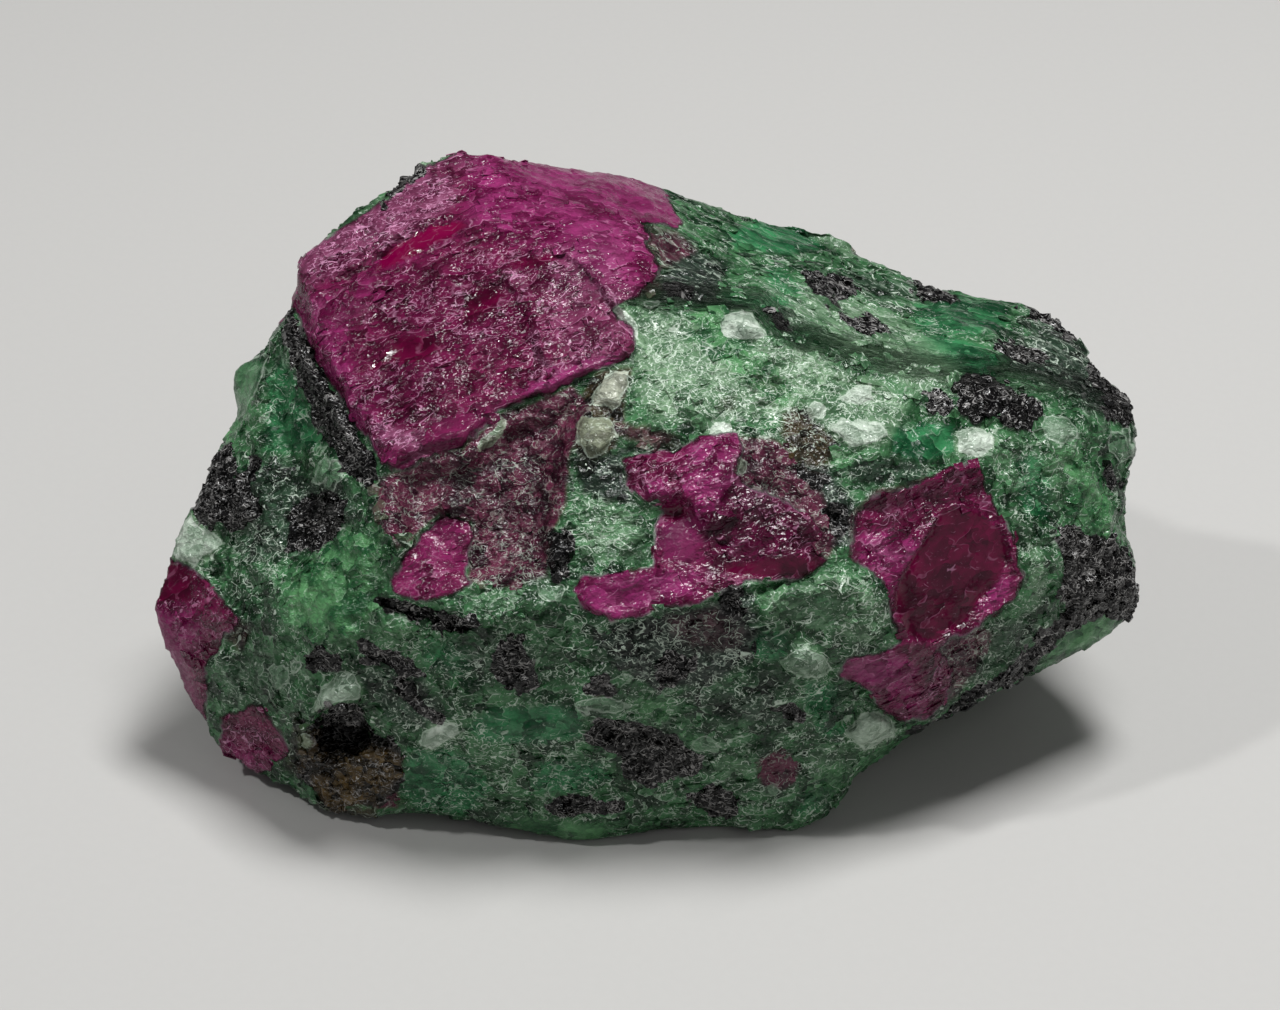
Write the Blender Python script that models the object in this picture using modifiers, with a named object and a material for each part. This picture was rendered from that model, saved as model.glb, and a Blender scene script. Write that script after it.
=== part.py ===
"""A rough, hand-sized specimen of ruby in zoisite: one broken piece of rock, 59 mm long.

The stone is one solid: green zoisite with ruby crystals and black hornblende grown into it. Its form is the
hull of its broken corners, drawn out to its outline. The ledges, crystals and pits of its show side are
raised or sunk inside their own outlines, a scaly fracture covers it, and it rests on a flat face.

Lengths are in millimetres up to the last step. X runs along the stone, Y from its show side to its back,
and Z up. The origin is on the resting face, under the middle of the stone.
"""

import math

import bmesh
import bpy
import numpy as np
from mathutils import Vector, geometry, noise

MM = 0.001
NODE = "stone"
STONE_GREEN = (0.12, 0.24, 0.16, 1.0)
REMESH_SIZE = 0.55
TRIANGLES = 8200

# The show side is described on a plane drawn square to the line of sight of someone looking down on it.
# A place there is (across, up, out): out is the height over the plane, towards that eye.
SIGHT_ANGLE = math.radians(35.0)
SIGHT_DISTANCE = 192.0
DRAWING_CENTRE = Vector((-0.4, -4.36, 16.0))
ACROSS = Vector((1.0, 0.0, 0.0))
UP = Vector((0.0, math.sin(SIGHT_ANGLE), math.cos(SIGHT_ANGLE)))
OUT = Vector((0.0, -math.cos(SIGHT_ANGLE), math.sin(SIGHT_ANGLE)))
EYE = DRAWING_CENTRE + OUT * SIGHT_DISTANCE

# The broken corners of the show side, as (across, up, out).
CROWN_CORNERS = [
    (-20.3, 13.4, 0.4),
    (-17.7, 16.9, -1.2),
    (-13.4, 20.2, -3.4),
    (-11.1, 20.9, -4.2),
    (-8.6, 20.7, -4.8),
    (-10.0, 16.8, 1.0),
    (-15.7, 2.2, 7.4),
    (-0.4, 9.0, 5.6),
    (-2.6, 13.0, 4.2),
]
SHOULDER_CORNERS = [
    (-4.8, 20.1, -7.5),
    (0.0, 19.3, -9.5),
    (3.6, 18.3, -10.5),
    (9.6, 16.9, -12.0),
    (13.2, 15.4, -12.2),
    (18.0, 12.8, -11.0),
    (21.2, 12.4, -10.0),
    (24.6, 11.2, -8.4),
    (26.2, 10.0, -7.0),
    (29.5, 6.0, -3.0),
    (0.8, 12.4, 5.0),
    (8.0, 10.6, 6.0),
    (16.5, 8.4, 4.8),
    (24.0, 7.0, 2.2),
]
FRONT_CORNERS = [
    (4.0, 4.6, 9.2),
    (14.0, 3.0, 8.2),
    (20.0, 2.7, 6.0),
    (-15.3, -1.5, 8.6),
    (-10.0, -6.6, 9.6),
    (-1.5, -6.8, 10.0),
    (8.0, -5.0, 9.8),
    (13.6, -4.0, 8.8),
    (22.8, -4.6, 4.8),
    (17.0, -9.0, 6.6),
    (6.0, -12.4, 6.8),
    (-4.0, -13.0, 7.2),
    (-13.0, -13.0, 6.0),
    (-18.5, -7.0, 7.4),
    (-20.5, -12.0, 3.6),
]
RIGHT_CORNERS = [
    (29.8, 3.6, -1.4),
    (26.3, 4.8, 2.4),
    (28.4, -1.6, 1.4),
    (29.4, -4.6, -0.6),
    (29.6, -6.8, -3.4),
    (26.4, -8.5, -1.2),
    (21.4, -11.0, 1.2),
    (16.6, -13.9, 1.6),
    (12.8, -16.7, 1.4),
]
LEFT_CORNERS = [
    (-21.2, 11.0, 0.2),
    (-24.4, 8.1, -3.6),
    (-24.5, 4.8, -3.4),
    (-26.4, 0.4, -2.6),
    (-28.7, -3.4, -2.2),
    (-29.1, -6.4, -1.6),
    (-28.7, -8.4, -2.0),
    (-26.6, -12.6, -3.6),
    (-24.9, -14.8, -3.4),
]
FOOT_CORNERS = [
    (-22.7, -16.1, -2.4),
    (-19.0, -18.1, -0.4),
    (-16.4, -18.8, 0.6),
    (-9.6, -19.2, 1.2),
    (-2.4, -20.3, 1.0),
    (4.8, -19.6, 1.0),
    (9.2, -19.6, 0.2),
    (11.8, -18.4, 0.4),
]
# The corners of the back and of the resting face, as (x, y, z).
BACK_CORNERS = [
    (-22.4, 6.6, 8.0),
    (-19.4, 4.6, -1.5),
    (-17.4, 12.1, 21.0),
    (-15.4, 13.6, 8.0),
    (-9.4, 10.6, -1.5),
    (-7.4, 16.1, 22.5),
    (-3.4, 16.6, 9.0),
    (4.6, 12.1, -1.5),
    (5.6, 17.6, 14.0),
    (12.6, 16.1, 10.0),
    (15.6, 9.6, -1.5),
    (20.6, 1.6, -1.5),
    (21.6, 12.6, 11.0),
    (26.6, 6.1, 10.0),
    (28.1, 4.6, 15.0),
]

# The outline of the whole stone as drawn, as (across, up).
STONE_OUTLINE = [
    (-20.4, 14.6), (-17.7, 17.1), (-15.1, 19.0), (-13.2, 20.5), (-11.1, 21.4), (-8.6, 21.3), (-4.8, 20.6),
    (0.0, 19.5), (3.6, 18.6), (9.6, 17.1), (12.6, 16.0), (14.7, 14.4), (17.7, 13.0), (21.0, 12.6),
    (24.3, 11.5), (26.1, 10.3), (27.7, 7.9), (29.6, 6.3), (29.9, 3.9), (29.6, -0.9), (29.9, -4.5),
    (30.1, -5.9), (29.3, -7.1), (26.7, -8.7), (21.6, -11.2), (18.6, -12.7), (16.5, -14.2), (13.2, -16.4),
    (11.7, -18.4), (9.0, -19.5), (4.8, -19.4), (0.0, -19.7), (-2.4, -20.1), (-6.0, -19.7), (-9.6, -19.1),
    (-14.4, -18.6), (-16.4, -19.0), (-19.4, -18.5), (-20.9, -17.3), (-23.2, -16.4), (-25.2, -14.9),
    (-26.8, -12.7), (-28.0, -10.6), (-29.0, -8.1), (-29.3, -5.7), (-28.7, -3.3), (-27.7, -1.5),
    (-26.2, 1.5), (-25.6, 3.2), (-24.6, 5.1), (-24.4, 8.1), (-22.8, 9.7), (-21.4, 11.2), (-20.6, 12.9),
]

# Outlines on the show side, as (across, up).
CROWN_RUBY = [
    (-20.7, 12.5), (-20.1, 10.0), (-19.0, 7.8), (-17.8, 5.9), (-16.4, 3.8), (-15.4, 2.1), (-13.9, 2.4),
    (-12.6, 3.1), (-10.4, 3.5), (-8.7, 5.3), (-6.5, 6.1), (-3.5, 7.7), (-0.4, 8.9), (-0.5, 10.1),
    (-1.3, 11.4), (-0.2, 12.4), (1.0, 13.4), (1.9, 16.6), (1.2, 18.6), (-2.0, 19.9), (-8.2, 21.2),
    (-14.6, 19.2), (-17.9, 16.9), (-20.6, 14.6),
]
CROWN_STEP = [
    (-18.8, 12.8), (-16.8, 13.2), (-14.4, 15.0), (-12.4, 16.2), (-10.2, 16.9), (-8.0, 19.4), (-12.0, 21.4),
    (-16.0, 18.6), (-20.8, 14.8), (-20.6, 13.2),
]
LOBE_RUBY = [
    (-1.0, 2.5), (0.2, 3.3), (2.2, 3.2), (3.5, 4.4), (5.9, 4.6), (6.1, 2.6), (5.4, 0.6), (5.7, -1.1),
    (4.0, -1.5), (2.8, -0.2), (2.0, 0.3), (1.4, -0.1), (0.5, 0.1), (-0.5, 1.1),
]
RIGHT_RUBY = [
    (13.0, 0.0), (15.5, 0.8), (17.2, 1.4), (18.1, 2.3), (20.2, 2.7), (20.7, 1.3), (21.3, 0.2), (22.1, -1.2),
    (22.7, -3.5), (22.8, -4.8), (21.9, -6.2), (20.4, -7.2), (18.7, -8.0), (17.0, -8.5), (15.9, -7.8),
    (15.3, -6.4), (14.7, -5.1), (13.5, -4.1), (12.9, -3.1), (12.8, -1.4),
]
FLANK_HOLLOW = [
    (-21.4, 10.4), (-20.3, 8.0), (-19.2, 5.5), (-17.8, 3.2), (-16.7, 1.0), (-16.4, -1.5), (-17.5, -4.0),
    (-20.5, -4.6), (-22.7, -3.0), (-23.4, 1.0), (-23.2, 5.0), (-22.8, 8.4),
]
UNDER_CROWN = [
    (-15.2, 1.8), (-12.5, 2.8), (-10.2, 3.2), (-8.5, 5.0), (-6.2, 5.9), (-3.0, 7.4), (-3.6, 3.6),
    (-4.6, 1.0), (-4.8, -1.5), (-5.6, -4.2), (-8.0, -4.8), (-12.0, -4.2), (-14.8, -2.0),
]
LEDGE_CRACK = [
    (-16.3, -5.4), (-14.0, -5.4), (-12.0, -6.0), (-10.0, -6.6), (-8.6, -7.1), (-11.0, -7.6), (-13.0, -7.1),
    (-15.2, -6.4),
]
GREEN_TOOTH = [
    (6.8, -5.7), (8.2, -4.9), (10.5, -4.4), (11.8, -3.8), (13.4, -4.1), (14.5, -5.6), (14.8, -8.0),
    (13.0, -9.8), (9.5, -10.4), (7.2, -8.3),
]
SHINY_PIT = [
    (-19.9, -13.7), (-19.0, -12.6), (-17.6, -11.9), (-16.4, -12.4), (-16.2, -13.3), (-14.6, -13.8),
    (-15.4, -14.6), (-17.2, -15.1), (-18.9, -15.0),
]
PIT_LIP = [
    (-19.5, -12.4), (-18.5, -10.6), (-17.4, -10.1), (-16.6, -10.8), (-16.8, -11.9), (-17.8, -12.0),
    (-18.8, -12.6),
]
LEFT_COLUMNS = [
    [(-26.5, -0.4), (-25.9, 1.7), (-25.2, 3.5), (-24.7, 2.4), (-24.9, -0.2), (-25.3, -1.6), (-26.3, -1.3)],
    [(-24.5, 2.9), (-23.7, 1.4), (-23.1, -0.6), (-23.7, -1.4), (-24.5, -1.2), (-24.8, 0.6)],
]
SHOULDER_BLACK = [
    (16.5, 6.9), (18.4, 6.3), (19.1, 7.6), (21.3, 7.9), (22.4, 6.8), (24.6, 6.3), (23.7, 4.5), (21.8, 4.7),
    (19.8, 5.1), (17.3, 5.4),
]
FRONT_BLACK = [
    (-3.4, -13.5), (-2.0, -12.7), (0.4, -13.0), (2.4, -14.2), (3.9, -15.2), (3.6, -16.1), (1.0, -16.5),
    (-0.9, -16.3), (-1.2, -14.8), (-2.6, -14.3),
]
UNDER_RIM = [
    (15.6, -13.5), (18.6, -12.1), (22.0, -10.0), (24.4, -7.7), (26.5, -6.4), (29.9, -6.4), (29.9, -8.4),
    (25.0, -9.6), (21.0, -12.0), (17.0, -14.8), (13.4, -17.4), (12.8, -16.0),
]
PROUD_GRAINS = [
    [(4.8, 11.0), (5.4, 11.5), (6.2, 11.7), (6.9, 11.1), (7.6, 10.1), (6.6, 9.8), (5.3, 10.2)],
    [(-2.1, 8.0), (-0.5, 8.2), (-1.2, 5.9), (-2.9, 6.2), (-2.7, 7.2)],
    [(-3.9, 4.6), (-2.9, 5.5), (-1.6, 5.0), (-1.5, 3.6), (-3.0, 2.9), (-4.0, 3.4)],
    [(8.5, -9.6), (9.3, -8.3), (10.2, -8.0), (11.0, -9.0), (11.6, -10.0), (10.2, -10.5), (9.0, -10.1)],
    [(12.4, -13.9), (13.2, -12.5), (14.6, -12.6), (15.7, -13.5), (14.6, -14.6), (13.2, -14.9)],
]

# What is raised or sunk on the show side, towards the eye or away from it: its height, how far in from the
# outline it reaches that height, and the outline.
SHOW_RELIEF = [
    (0.8, 0.7, CROWN_RUBY),
    (-0.7, 0.7, CROWN_STEP),
    (0.6, 0.5, LOBE_RUBY),
    (-0.5, 0.6, RIGHT_RUBY),
    (-1.1, 3.2, FLANK_HOLLOW),
    (-1.2, 1.6, UNDER_CROWN),
    (-1.1, 0.6, LEDGE_CRACK),
    (0.7, 0.8, GREEN_TOOTH),
    (-2.2, 1.2, SHINY_PIT),
    (0.5, 0.5, PIT_LIP),
    (0.7, 0.6, LEFT_COLUMNS[0]),
    (0.6, 0.6, LEFT_COLUMNS[1]),
    (0.4, 0.6, SHOULDER_BLACK),
    (-0.4, 0.6, FRONT_BLACK),
    (-0.8, 0.6, UNDER_RIM),
] + [(0.45, 0.4, grain) for grain in PROUD_GRAINS]

# The scaly fracture, on the show side and on the others: the size of its scales, how steeply they lean, and
# how far they step up or down.
SHOW_SCALES = [(5.0, 0.05, 0.2), (2.6, 0.05, 0.0)]
OTHER_SCALES = [(11.0, 0.1, 0.8), (5.0, 0.08, 0.3)]
STEP_WIDTH = 1.1
WANDER_SHIFTS = [Vector((9.3, -1.5, -7.9)), Vector((-3.1, 8.4, 2.7)), Vector((5.2, 6.6, -4.8))]
SWELL = (11.0, 0.3)
FACING_FADE = (0.05, 0.35)
TURNED_AWAY = (-0.1, 0.35)
TURNED_DOWN = (0.7, 0.92)


def clear_scene():
    for old in list(bpy.data.objects):
        bpy.data.objects.remove(old)


def placed(across, up, out):
    """The point of the stone that is drawn there."""
    nearer = (SIGHT_DISTANCE - out) / SIGHT_DISTANCE
    return DRAWING_CENTRE + ACROSS * across * nearer + UP * up * nearer + OUT * out


def drawn(points):
    """Where these points, an array of rows, are drawn, as rows of (across, up)."""
    offset = points - np.array(DRAWING_CENTRE)
    out = offset @ np.array(OUT)
    plane = np.stack([offset @ np.array(ACROSS), offset @ np.array(UP)], axis=1)
    return plane * (SIGHT_DISTANCE / (SIGHT_DISTANCE - out))[:, None]


def depth_inside(places, outline):
    """How far each drawn place lies inside the outline, below zero outside it."""
    start = np.array(outline)
    end = np.roll(start, -1, axis=0)
    edge = end - start
    offset = places[:, None] - start
    along = np.clip((offset * edge).sum(2) / (edge**2).sum(1), 0, 1)
    gap = np.linalg.norm(offset - along[..., None] * edge, axis=2).min(1)
    x, y = places[:, :1], places[:, 1:]
    spans = (start[:, 1] > y) != (end[:, 1] > y)
    slope = edge[:, 0] / np.where(edge[:, 1] == 0, 1, edge[:, 1])
    crossed = spans & (x < start[:, 0] + (y - start[:, 1]) * slope)
    return np.where(crossed.sum(1) % 2 == 1, gap, -gap)


def eased(value, low, high):
    """0 up to low, 1 from high on, and smooth between them."""
    share = np.clip((value - low) / (high - low), 0, 1)
    return share * share * (3 - 2 * share)


def broken_hull():
    """The hull of all the corners, as an object."""
    shown = CROWN_CORNERS + SHOULDER_CORNERS + FRONT_CORNERS + RIGHT_CORNERS + LEFT_CORNERS + FOOT_CORNERS
    hull = bmesh.new()
    for corner in [placed(*corner) for corner in shown] + BACK_CORNERS:
        hull.verts.new(corner)
    result = bmesh.ops.convex_hull(hull, input=hull.verts)
    inside = [v for v in result["geom_interior"] if isinstance(v, bmesh.types.BMVert)]
    bmesh.ops.delete(hull, geom=inside, context="VERTS")
    bmesh.ops.recalc_face_normals(hull, faces=hull.faces)
    mesh = bpy.data.meshes.new(NODE)
    hull.to_mesh(mesh)
    hull.free()
    stone = bpy.data.objects.new(NODE, mesh)
    collection = bpy.data.collections.new("ruby_in_zoisite")
    bpy.context.scene.collection.children.link(collection)
    collection.objects.link(stone)
    return stone


def apply_modifiers(stone):
    """Makes the evaluated mesh the stone's own."""
    bpy.context.view_layer.update()
    evaluated = stone.evaluated_get(bpy.context.evaluated_depsgraph_get())
    mesh = bpy.data.meshes.new_from_object(evaluated)
    stone.modifiers.clear()
    stone.data = mesh


def remesh(stone):
    """An even skin over the hull, fine enough to hold the relief."""
    modifier = stone.modifiers.new("even skin", "REMESH")
    modifier.mode = "VOXEL"
    modifier.voxel_size = REMESH_SIZE
    apply_modifiers(stone)


def vectors_of(mesh, kind):
    items = mesh.vertices
    found = np.empty(len(items) * 3, np.float32)
    items.foreach_get(kind, found)
    return found.reshape(-1, 3).astype(float)


def move_to(mesh, points):
    mesh.vertices.foreach_set("co", points.astype(np.float32).ravel())
    mesh.update()


def reach(places, outline):
    """How far the outline lies from the middle of the drawing, in the direction of each drawn place."""
    start = np.array(outline)
    edge = np.roll(start, -1, axis=0) - start
    toward = places / np.linalg.norm(places, axis=1)[:, None]
    across = toward[:, :1] * edge[:, 1] - toward[:, 1:] * edge[:, 0]
    across = np.where(across == 0, 1e-9, across)
    distance = (start[:, 0] * edge[:, 1] - start[:, 1] * edge[:, 0]) / across
    share = (start[:, 0] * toward[:, 1:] - start[:, 1] * toward[:, :1]) / across
    met = (distance > 0) & (share >= -1e-6) & (share <= 1 + 1e-6)
    return np.where(met, distance, 0).max(1)


def fit_outline(mesh):
    """Draws the broken edges of the hull in or out to the outline of the stone."""
    points = vectors_of(mesh, "co")
    places = drawn(points)
    edge_places = [Vector(place) for place in places]
    hull_outline = [places[i] for i in geometry.convex_hull_2d(edge_places)]
    hull_reach = reach(places, hull_outline)
    change = reach(places, STONE_OUTLINE) / hull_reach - 1
    nearness = (np.linalg.norm(places, axis=1) / hull_reach) ** 4
    moved = places * (change * nearness)[:, None]
    move_to(mesh, points + moved[:, :1] * np.array(ACROSS) + moved[:, 1:] * np.array(UP))


def raise_show_side(mesh):
    """Moves each point along its line of sight, so that the outlines stay where they are drawn."""
    points = vectors_of(mesh, "co")
    sight = np.array(EYE) - points
    sight /= np.linalg.norm(sight, axis=1)[:, None]
    facing = eased((vectors_of(mesh, "normal") * sight).sum(1), *FACING_FADE)
    places = drawn(points)
    height = np.zeros(len(points))
    for amount, slope, outline in SHOW_RELIEF:
        height += amount * eased(depth_inside(places, outline), 0, slope)
    move_to(mesh, points + sight * (height * facing)[:, None])


def scale_height(point, size, lean, step):
    """The height at a point of flat scales, each leaning its own way and stepped from the next."""
    wander = Vector([noise.noise(point / size + shift) for shift in WANDER_SHIFTS])
    warped = point + wander * size * 0.45
    gaps, middles = noise.voronoi(warped / size)
    heights = []
    for middle in middles[:2]:
        tilt = noise.cell_vector(middle * 41.7) - Vector((0.5, 0.5, 0.5))
        level = noise.cell(middle * 23.1) - 0.5
        heights.append(2 * lean * tilt.dot(warped - middle * size) + step * level)
    share = 0.5 - 0.5 * eased((gaps[1] - gaps[0]) * size, 0, STEP_WIDTH)
    return heights[0] + (heights[1] - heights[0]) * share


def fracture(points, scales):
    return np.array([sum(scale_height(Vector(point), *scale) for scale in scales) for point in points])


def break_surface(mesh):
    points = vectors_of(mesh, "co")
    normals = vectors_of(mesh, "normal")
    sight = np.array(EYE) - points
    sight /= np.linalg.norm(sight, axis=1)[:, None]
    away = eased(-(normals * sight).sum(1), *TURNED_AWAY)
    swell_size, swell_height = SWELL
    height = swell_height * np.array([noise.noise(Vector(point) / swell_size) for point in points])
    height += fracture(points, SHOW_SCALES) * (1 - away) + fracture(points, OTHER_SCALES) * away
    height *= 1 - eased(-normals[:, 2], *TURNED_DOWN)
    move_to(mesh, points + normals * height[:, None])


def simplify(stone):
    """Fewer triangles on what is flat, and as many as needed along the ridges and steps."""
    triangles = sum(len(face.vertices) - 2 for face in stone.data.polygons)
    modifier = stone.modifiers.new("simpler", "DECIMATE")
    modifier.ratio = TRIANGLES / triangles
    apply_modifiers(stone)


def cut_resting_face(stone):
    """Cuts the stone off flat at the height of the origin and closes the cut."""
    cut = bmesh.new()
    cut.from_mesh(stone.data)
    result = bmesh.ops.bisect_plane(
        cut,
        geom=cut.verts[:] + cut.edges[:] + cut.faces[:],
        plane_co=(0, 0, 0),
        plane_no=(0, 0, -1),
        clear_outer=True,
    )
    rim = [e for e in result["geom_cut"] if isinstance(e, bmesh.types.BMEdge)]
    bmesh.ops.holes_fill(cut, edges=rim)
    bmesh.ops.triangulate(cut, faces=cut.faces[:])
    cut.to_mesh(stone.data)
    cut.free()


def paint(stone):
    """The dull green that the stone has as a whole."""
    material = bpy.data.materials.new("ruby in zoisite")
    material.use_nodes = True
    shader = next(node for node in material.node_tree.nodes if node.type == "BSDF_PRINCIPLED")
    shader.inputs["Base Color"].default_value = STONE_GREEN
    shader.inputs["Roughness"].default_value = 0.45
    stone.data.materials.clear()
    stone.data.materials.append(material)


def main():
    clear_scene()
    stone = broken_hull()
    remesh(stone)
    fit_outline(stone.data)
    raise_show_side(stone.data)
    break_surface(stone.data)
    simplify(stone)
    cut_resting_face(stone)
    move_to(stone.data, vectors_of(stone.data, "co") * MM)
    paint(stone)


main()
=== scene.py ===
"""The finish of a rough piece of ruby in zoisite: its crystal skin, its grains, and a plain pale stage.

The solid of the stone is the frame. Its skin is remeshed from it and replaces it: each mineral gets the small
relief of its own fracture, and carries attributes that its material reads. Chips of hornblende, zoisite and
ruby stand in the skin as joined meshes. The show side is described as it is drawn on a plane square to the
line of sight, in millimetres; the other sides by the places of their crystals.
"""

import math

import bmesh
import bpy
import numpy as np
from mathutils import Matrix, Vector, noise
from mathutils.bvhtree import BVHTree


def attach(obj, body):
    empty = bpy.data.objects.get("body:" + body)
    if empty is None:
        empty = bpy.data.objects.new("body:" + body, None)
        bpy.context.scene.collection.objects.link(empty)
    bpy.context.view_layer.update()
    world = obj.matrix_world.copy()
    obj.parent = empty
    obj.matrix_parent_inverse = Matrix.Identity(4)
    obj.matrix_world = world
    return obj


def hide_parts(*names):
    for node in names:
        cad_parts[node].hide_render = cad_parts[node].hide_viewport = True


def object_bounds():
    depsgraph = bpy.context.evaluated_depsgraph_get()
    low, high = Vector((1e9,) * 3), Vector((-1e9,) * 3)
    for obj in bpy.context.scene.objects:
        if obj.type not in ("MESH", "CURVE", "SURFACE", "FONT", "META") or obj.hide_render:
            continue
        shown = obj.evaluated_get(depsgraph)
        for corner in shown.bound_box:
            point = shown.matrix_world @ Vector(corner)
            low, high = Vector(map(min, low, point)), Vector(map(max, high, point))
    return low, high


bl_info = {
    "name": "Ruby in Zoisite",
    "version": (1, 0, 0),
    "blender": (4, 5, 0),
    "location": "3D View > Sidebar > Stone",
    "description": "Gives a rough stone its skin of ruby, zoisite and hornblende",
    "category": "Mesh",
}

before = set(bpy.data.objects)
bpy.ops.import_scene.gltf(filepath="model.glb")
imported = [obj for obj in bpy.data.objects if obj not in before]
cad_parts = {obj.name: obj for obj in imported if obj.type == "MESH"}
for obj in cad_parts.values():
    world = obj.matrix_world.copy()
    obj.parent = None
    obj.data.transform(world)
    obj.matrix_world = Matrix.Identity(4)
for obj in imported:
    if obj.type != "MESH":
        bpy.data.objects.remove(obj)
SOLID_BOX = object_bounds()

MM = 0.001
STONE = "stone"

# The line of sight that the show side is drawn along. A place on it is (across, up), in millimetres.
SIGHT_ANGLE = math.radians(35.0)
SIGHT_DISTANCE = 192.0
DRAWING_CENTRE = Vector((-0.4, -4.36, 16.0))
DRAWING_WIDTH = 76.8
ACROSS = Vector((1.0, 0.0, 0.0))
UP = Vector((0.0, math.sin(SIGHT_ANGLE), math.cos(SIGHT_ANGLE)))
OUT = Vector((0.0, -math.cos(SIGHT_ANGLE), math.sin(SIGHT_ANGLE)))
EYE = DRAWING_CENTRE + OUT * SIGHT_DISTANCE

# ------------------------------------------------------------------ what grows where on the show side

# Outlines of single minerals: the crystals of ruby first.
RUBY = [
    # the crown
    [(-21.0, 12.4), (-20.3, 10.6), (-19.4, 8.8), (-18.4, 7.0), (-17.4, 5.4), (-16.4, 4.0), (-15.6, 2.8),
     (-15.0, 2.0), (-14.2, 2.0), (-13.2, 2.8), (-12.0, 3.1), (-10.6, 3.5), (-9.5, 4.5), (-8.7, 5.6),
     (-6.8, 6.2), (-5.2, 6.9), (-3.9, 7.6), (-2.4, 8.0), (-0.8, 8.7), (-0.3, 9.4), (-0.5, 10.4),
     (-1.7, 11.6), (-0.2, 12.6), (1.3, 13.9), (0.5, 15.4), (0.2, 16.8), (2.5, 16.6), (2.0, 18.0),
     (0.4, 19.8), (-8.2, 22.0), (-13.2, 20.1), (-15.6, 18.2), (-18.0, 16.6), (-21.5, 14.6)],
    [(-22.3, 10.4), (-21.3, 11.0), (-20.7, 12.4), (-20.9, 13.2), (-22.0, 12.6)],
    # the wedge under the crown
    [(-15.0, -4.6), (-14.0, -3.0), (-13.0, -1.8), (-11.8, -0.7), (-10.6, -0.8), (-9.9, -1.6),
     (-10.4, -3.0), (-10.6, -4.2), (-10.2, -4.8), (-11.6, -5.6), (-13.2, -5.8), (-14.7, -5.3)],
    # the centre
    [(-0.9, 2.8), (0.8, 3.3), (2.4, 3.3), (3.5, 4.3), (5.8, 4.5), (6.1, 3.2), (5.5, 2.0), (6.4, 1.1),
     (8.6, 0.2), (10.4, -0.6), (11.0, -1.8), (10.6, -2.9), (11.3, -3.3), (10.2, -4.1), (8.0, -4.6),
     (6.2, -4.6), (4.4, -5.5), (2.0, -6.2), (0.6, -6.4), (-1.5, -7.0), (-3.2, -6.3), (-4.1, -5.2),
     (-3.4, -4.4), (-1.2, -4.0), (0.7, -3.7), (1.0, -1.2), (1.5, -0.2), (0.4, 0.1), (-0.6, 1.2)],
    # the right one and its foot
    [(13.0, -0.6), (14.2, 0.5), (15.5, 0.9), (17.1, 1.4), (18.3, 2.1), (20.2, 2.7), (20.6, 1.8),
     (21.1, 0.6), (21.4, -0.4), (22.2, -1.6), (22.6, -3.0), (22.9, -4.3), (22.5, -5.6), (21.6, -6.4),
     (20.6, -7.1), (19.0, -7.9), (17.9, -8.6), (18.6, -9.4), (18.8, -10.6), (18.2, -11.9), (17.2, -12.8),
     (15.8, -13.0), (14.4, -12.2), (13.6, -11.0), (12.0, -10.3), (12.4, -9.3), (14.6, -8.8), (15.6, -8.2),
     (15.2, -6.9), (14.9, -5.2), (13.9, -4.0), (12.7, -3.2)],
    # the left end
    [(-30.0, -3.2), (-28.0, -3.2), (-26.8, -3.8), (-25.8, -4.9), (-24.9, -5.8), (-24.0, -6.9),
     (-24.9, -7.8), (-25.3, -8.9), (-26.2, -9.6), (-25.9, -11.4), (-26.0, -12.8), (-28.0, -11.2),
     (-30.0, -8.0)],
    [(-25.2, -12.9), (-24.0, -12.1), (-22.6, -12.0), (-21.8, -13.2), (-20.9, -14.8), (-21.8, -15.5),
     (-23.0, -16.2), (-25.2, -15.0)],
]
# Where the ruby is clear. The streak under the crown's upper strip is bright pink too: there the clear ruby
# carries painted light from behind.
STREAK = [(-16.0, 13.9), (-14.6, 14.5), (-12.8, 15.3), (-11.4, 15.9), (-10.3, 16.8), (-10.9, 17.2),
          (-12.4, 16.8), (-14.0, 16.0), (-15.4, 15.1)]
GLASSY = [
    STREAK,
    [(-15.3, 9.1), (-14.5, 10.0), (-13.2, 10.2), (-12.0, 9.9), (-11.8, 9.5), (-12.8, 8.8), (-13.8, 8.5),
     (-14.8, 8.6), (-16.2, 8.0), (-17.1, 7.9)],
    [(-10.7, 11.7), (-9.9, 12.9), (-8.6, 13.3), (-8.1, 12.6), (-9.0, 11.5), (-10.2, 11.0)],
    [(-8.6, 14.1), (-6.9, 15.0), (-4.8, 15.1), (-5.0, 14.6), (-6.6, 14.3)],
    [(18.2, -0.2), (20.2, -0.3), (21.4, -1.4), (22.0, -3.0), (21.4, -4.6), (20.4, -5.8), (19.2, -7.4),
     (17.8, -8.2), (16.4, -7.9), (15.3, -6.8), (15.2, -5.4), (16.2, -3.6), (17.2, -1.8)],
    [(4.9, -3.4), (8.0, -3.2), (11.0, -3.2), (10.2, -4.1), (7.4, -4.4), (5.2, -4.3)],
    [(1.2, -0.1), (2.4, 0.2), (2.9, -0.6), (2.0, -1.0), (1.2, -0.8)],
    [(-28.9, -3.3), (-27.6, -3.4), (-26.9, -4.4), (-27.1, -5.7), (-28.9, -5.8)],
]
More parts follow.
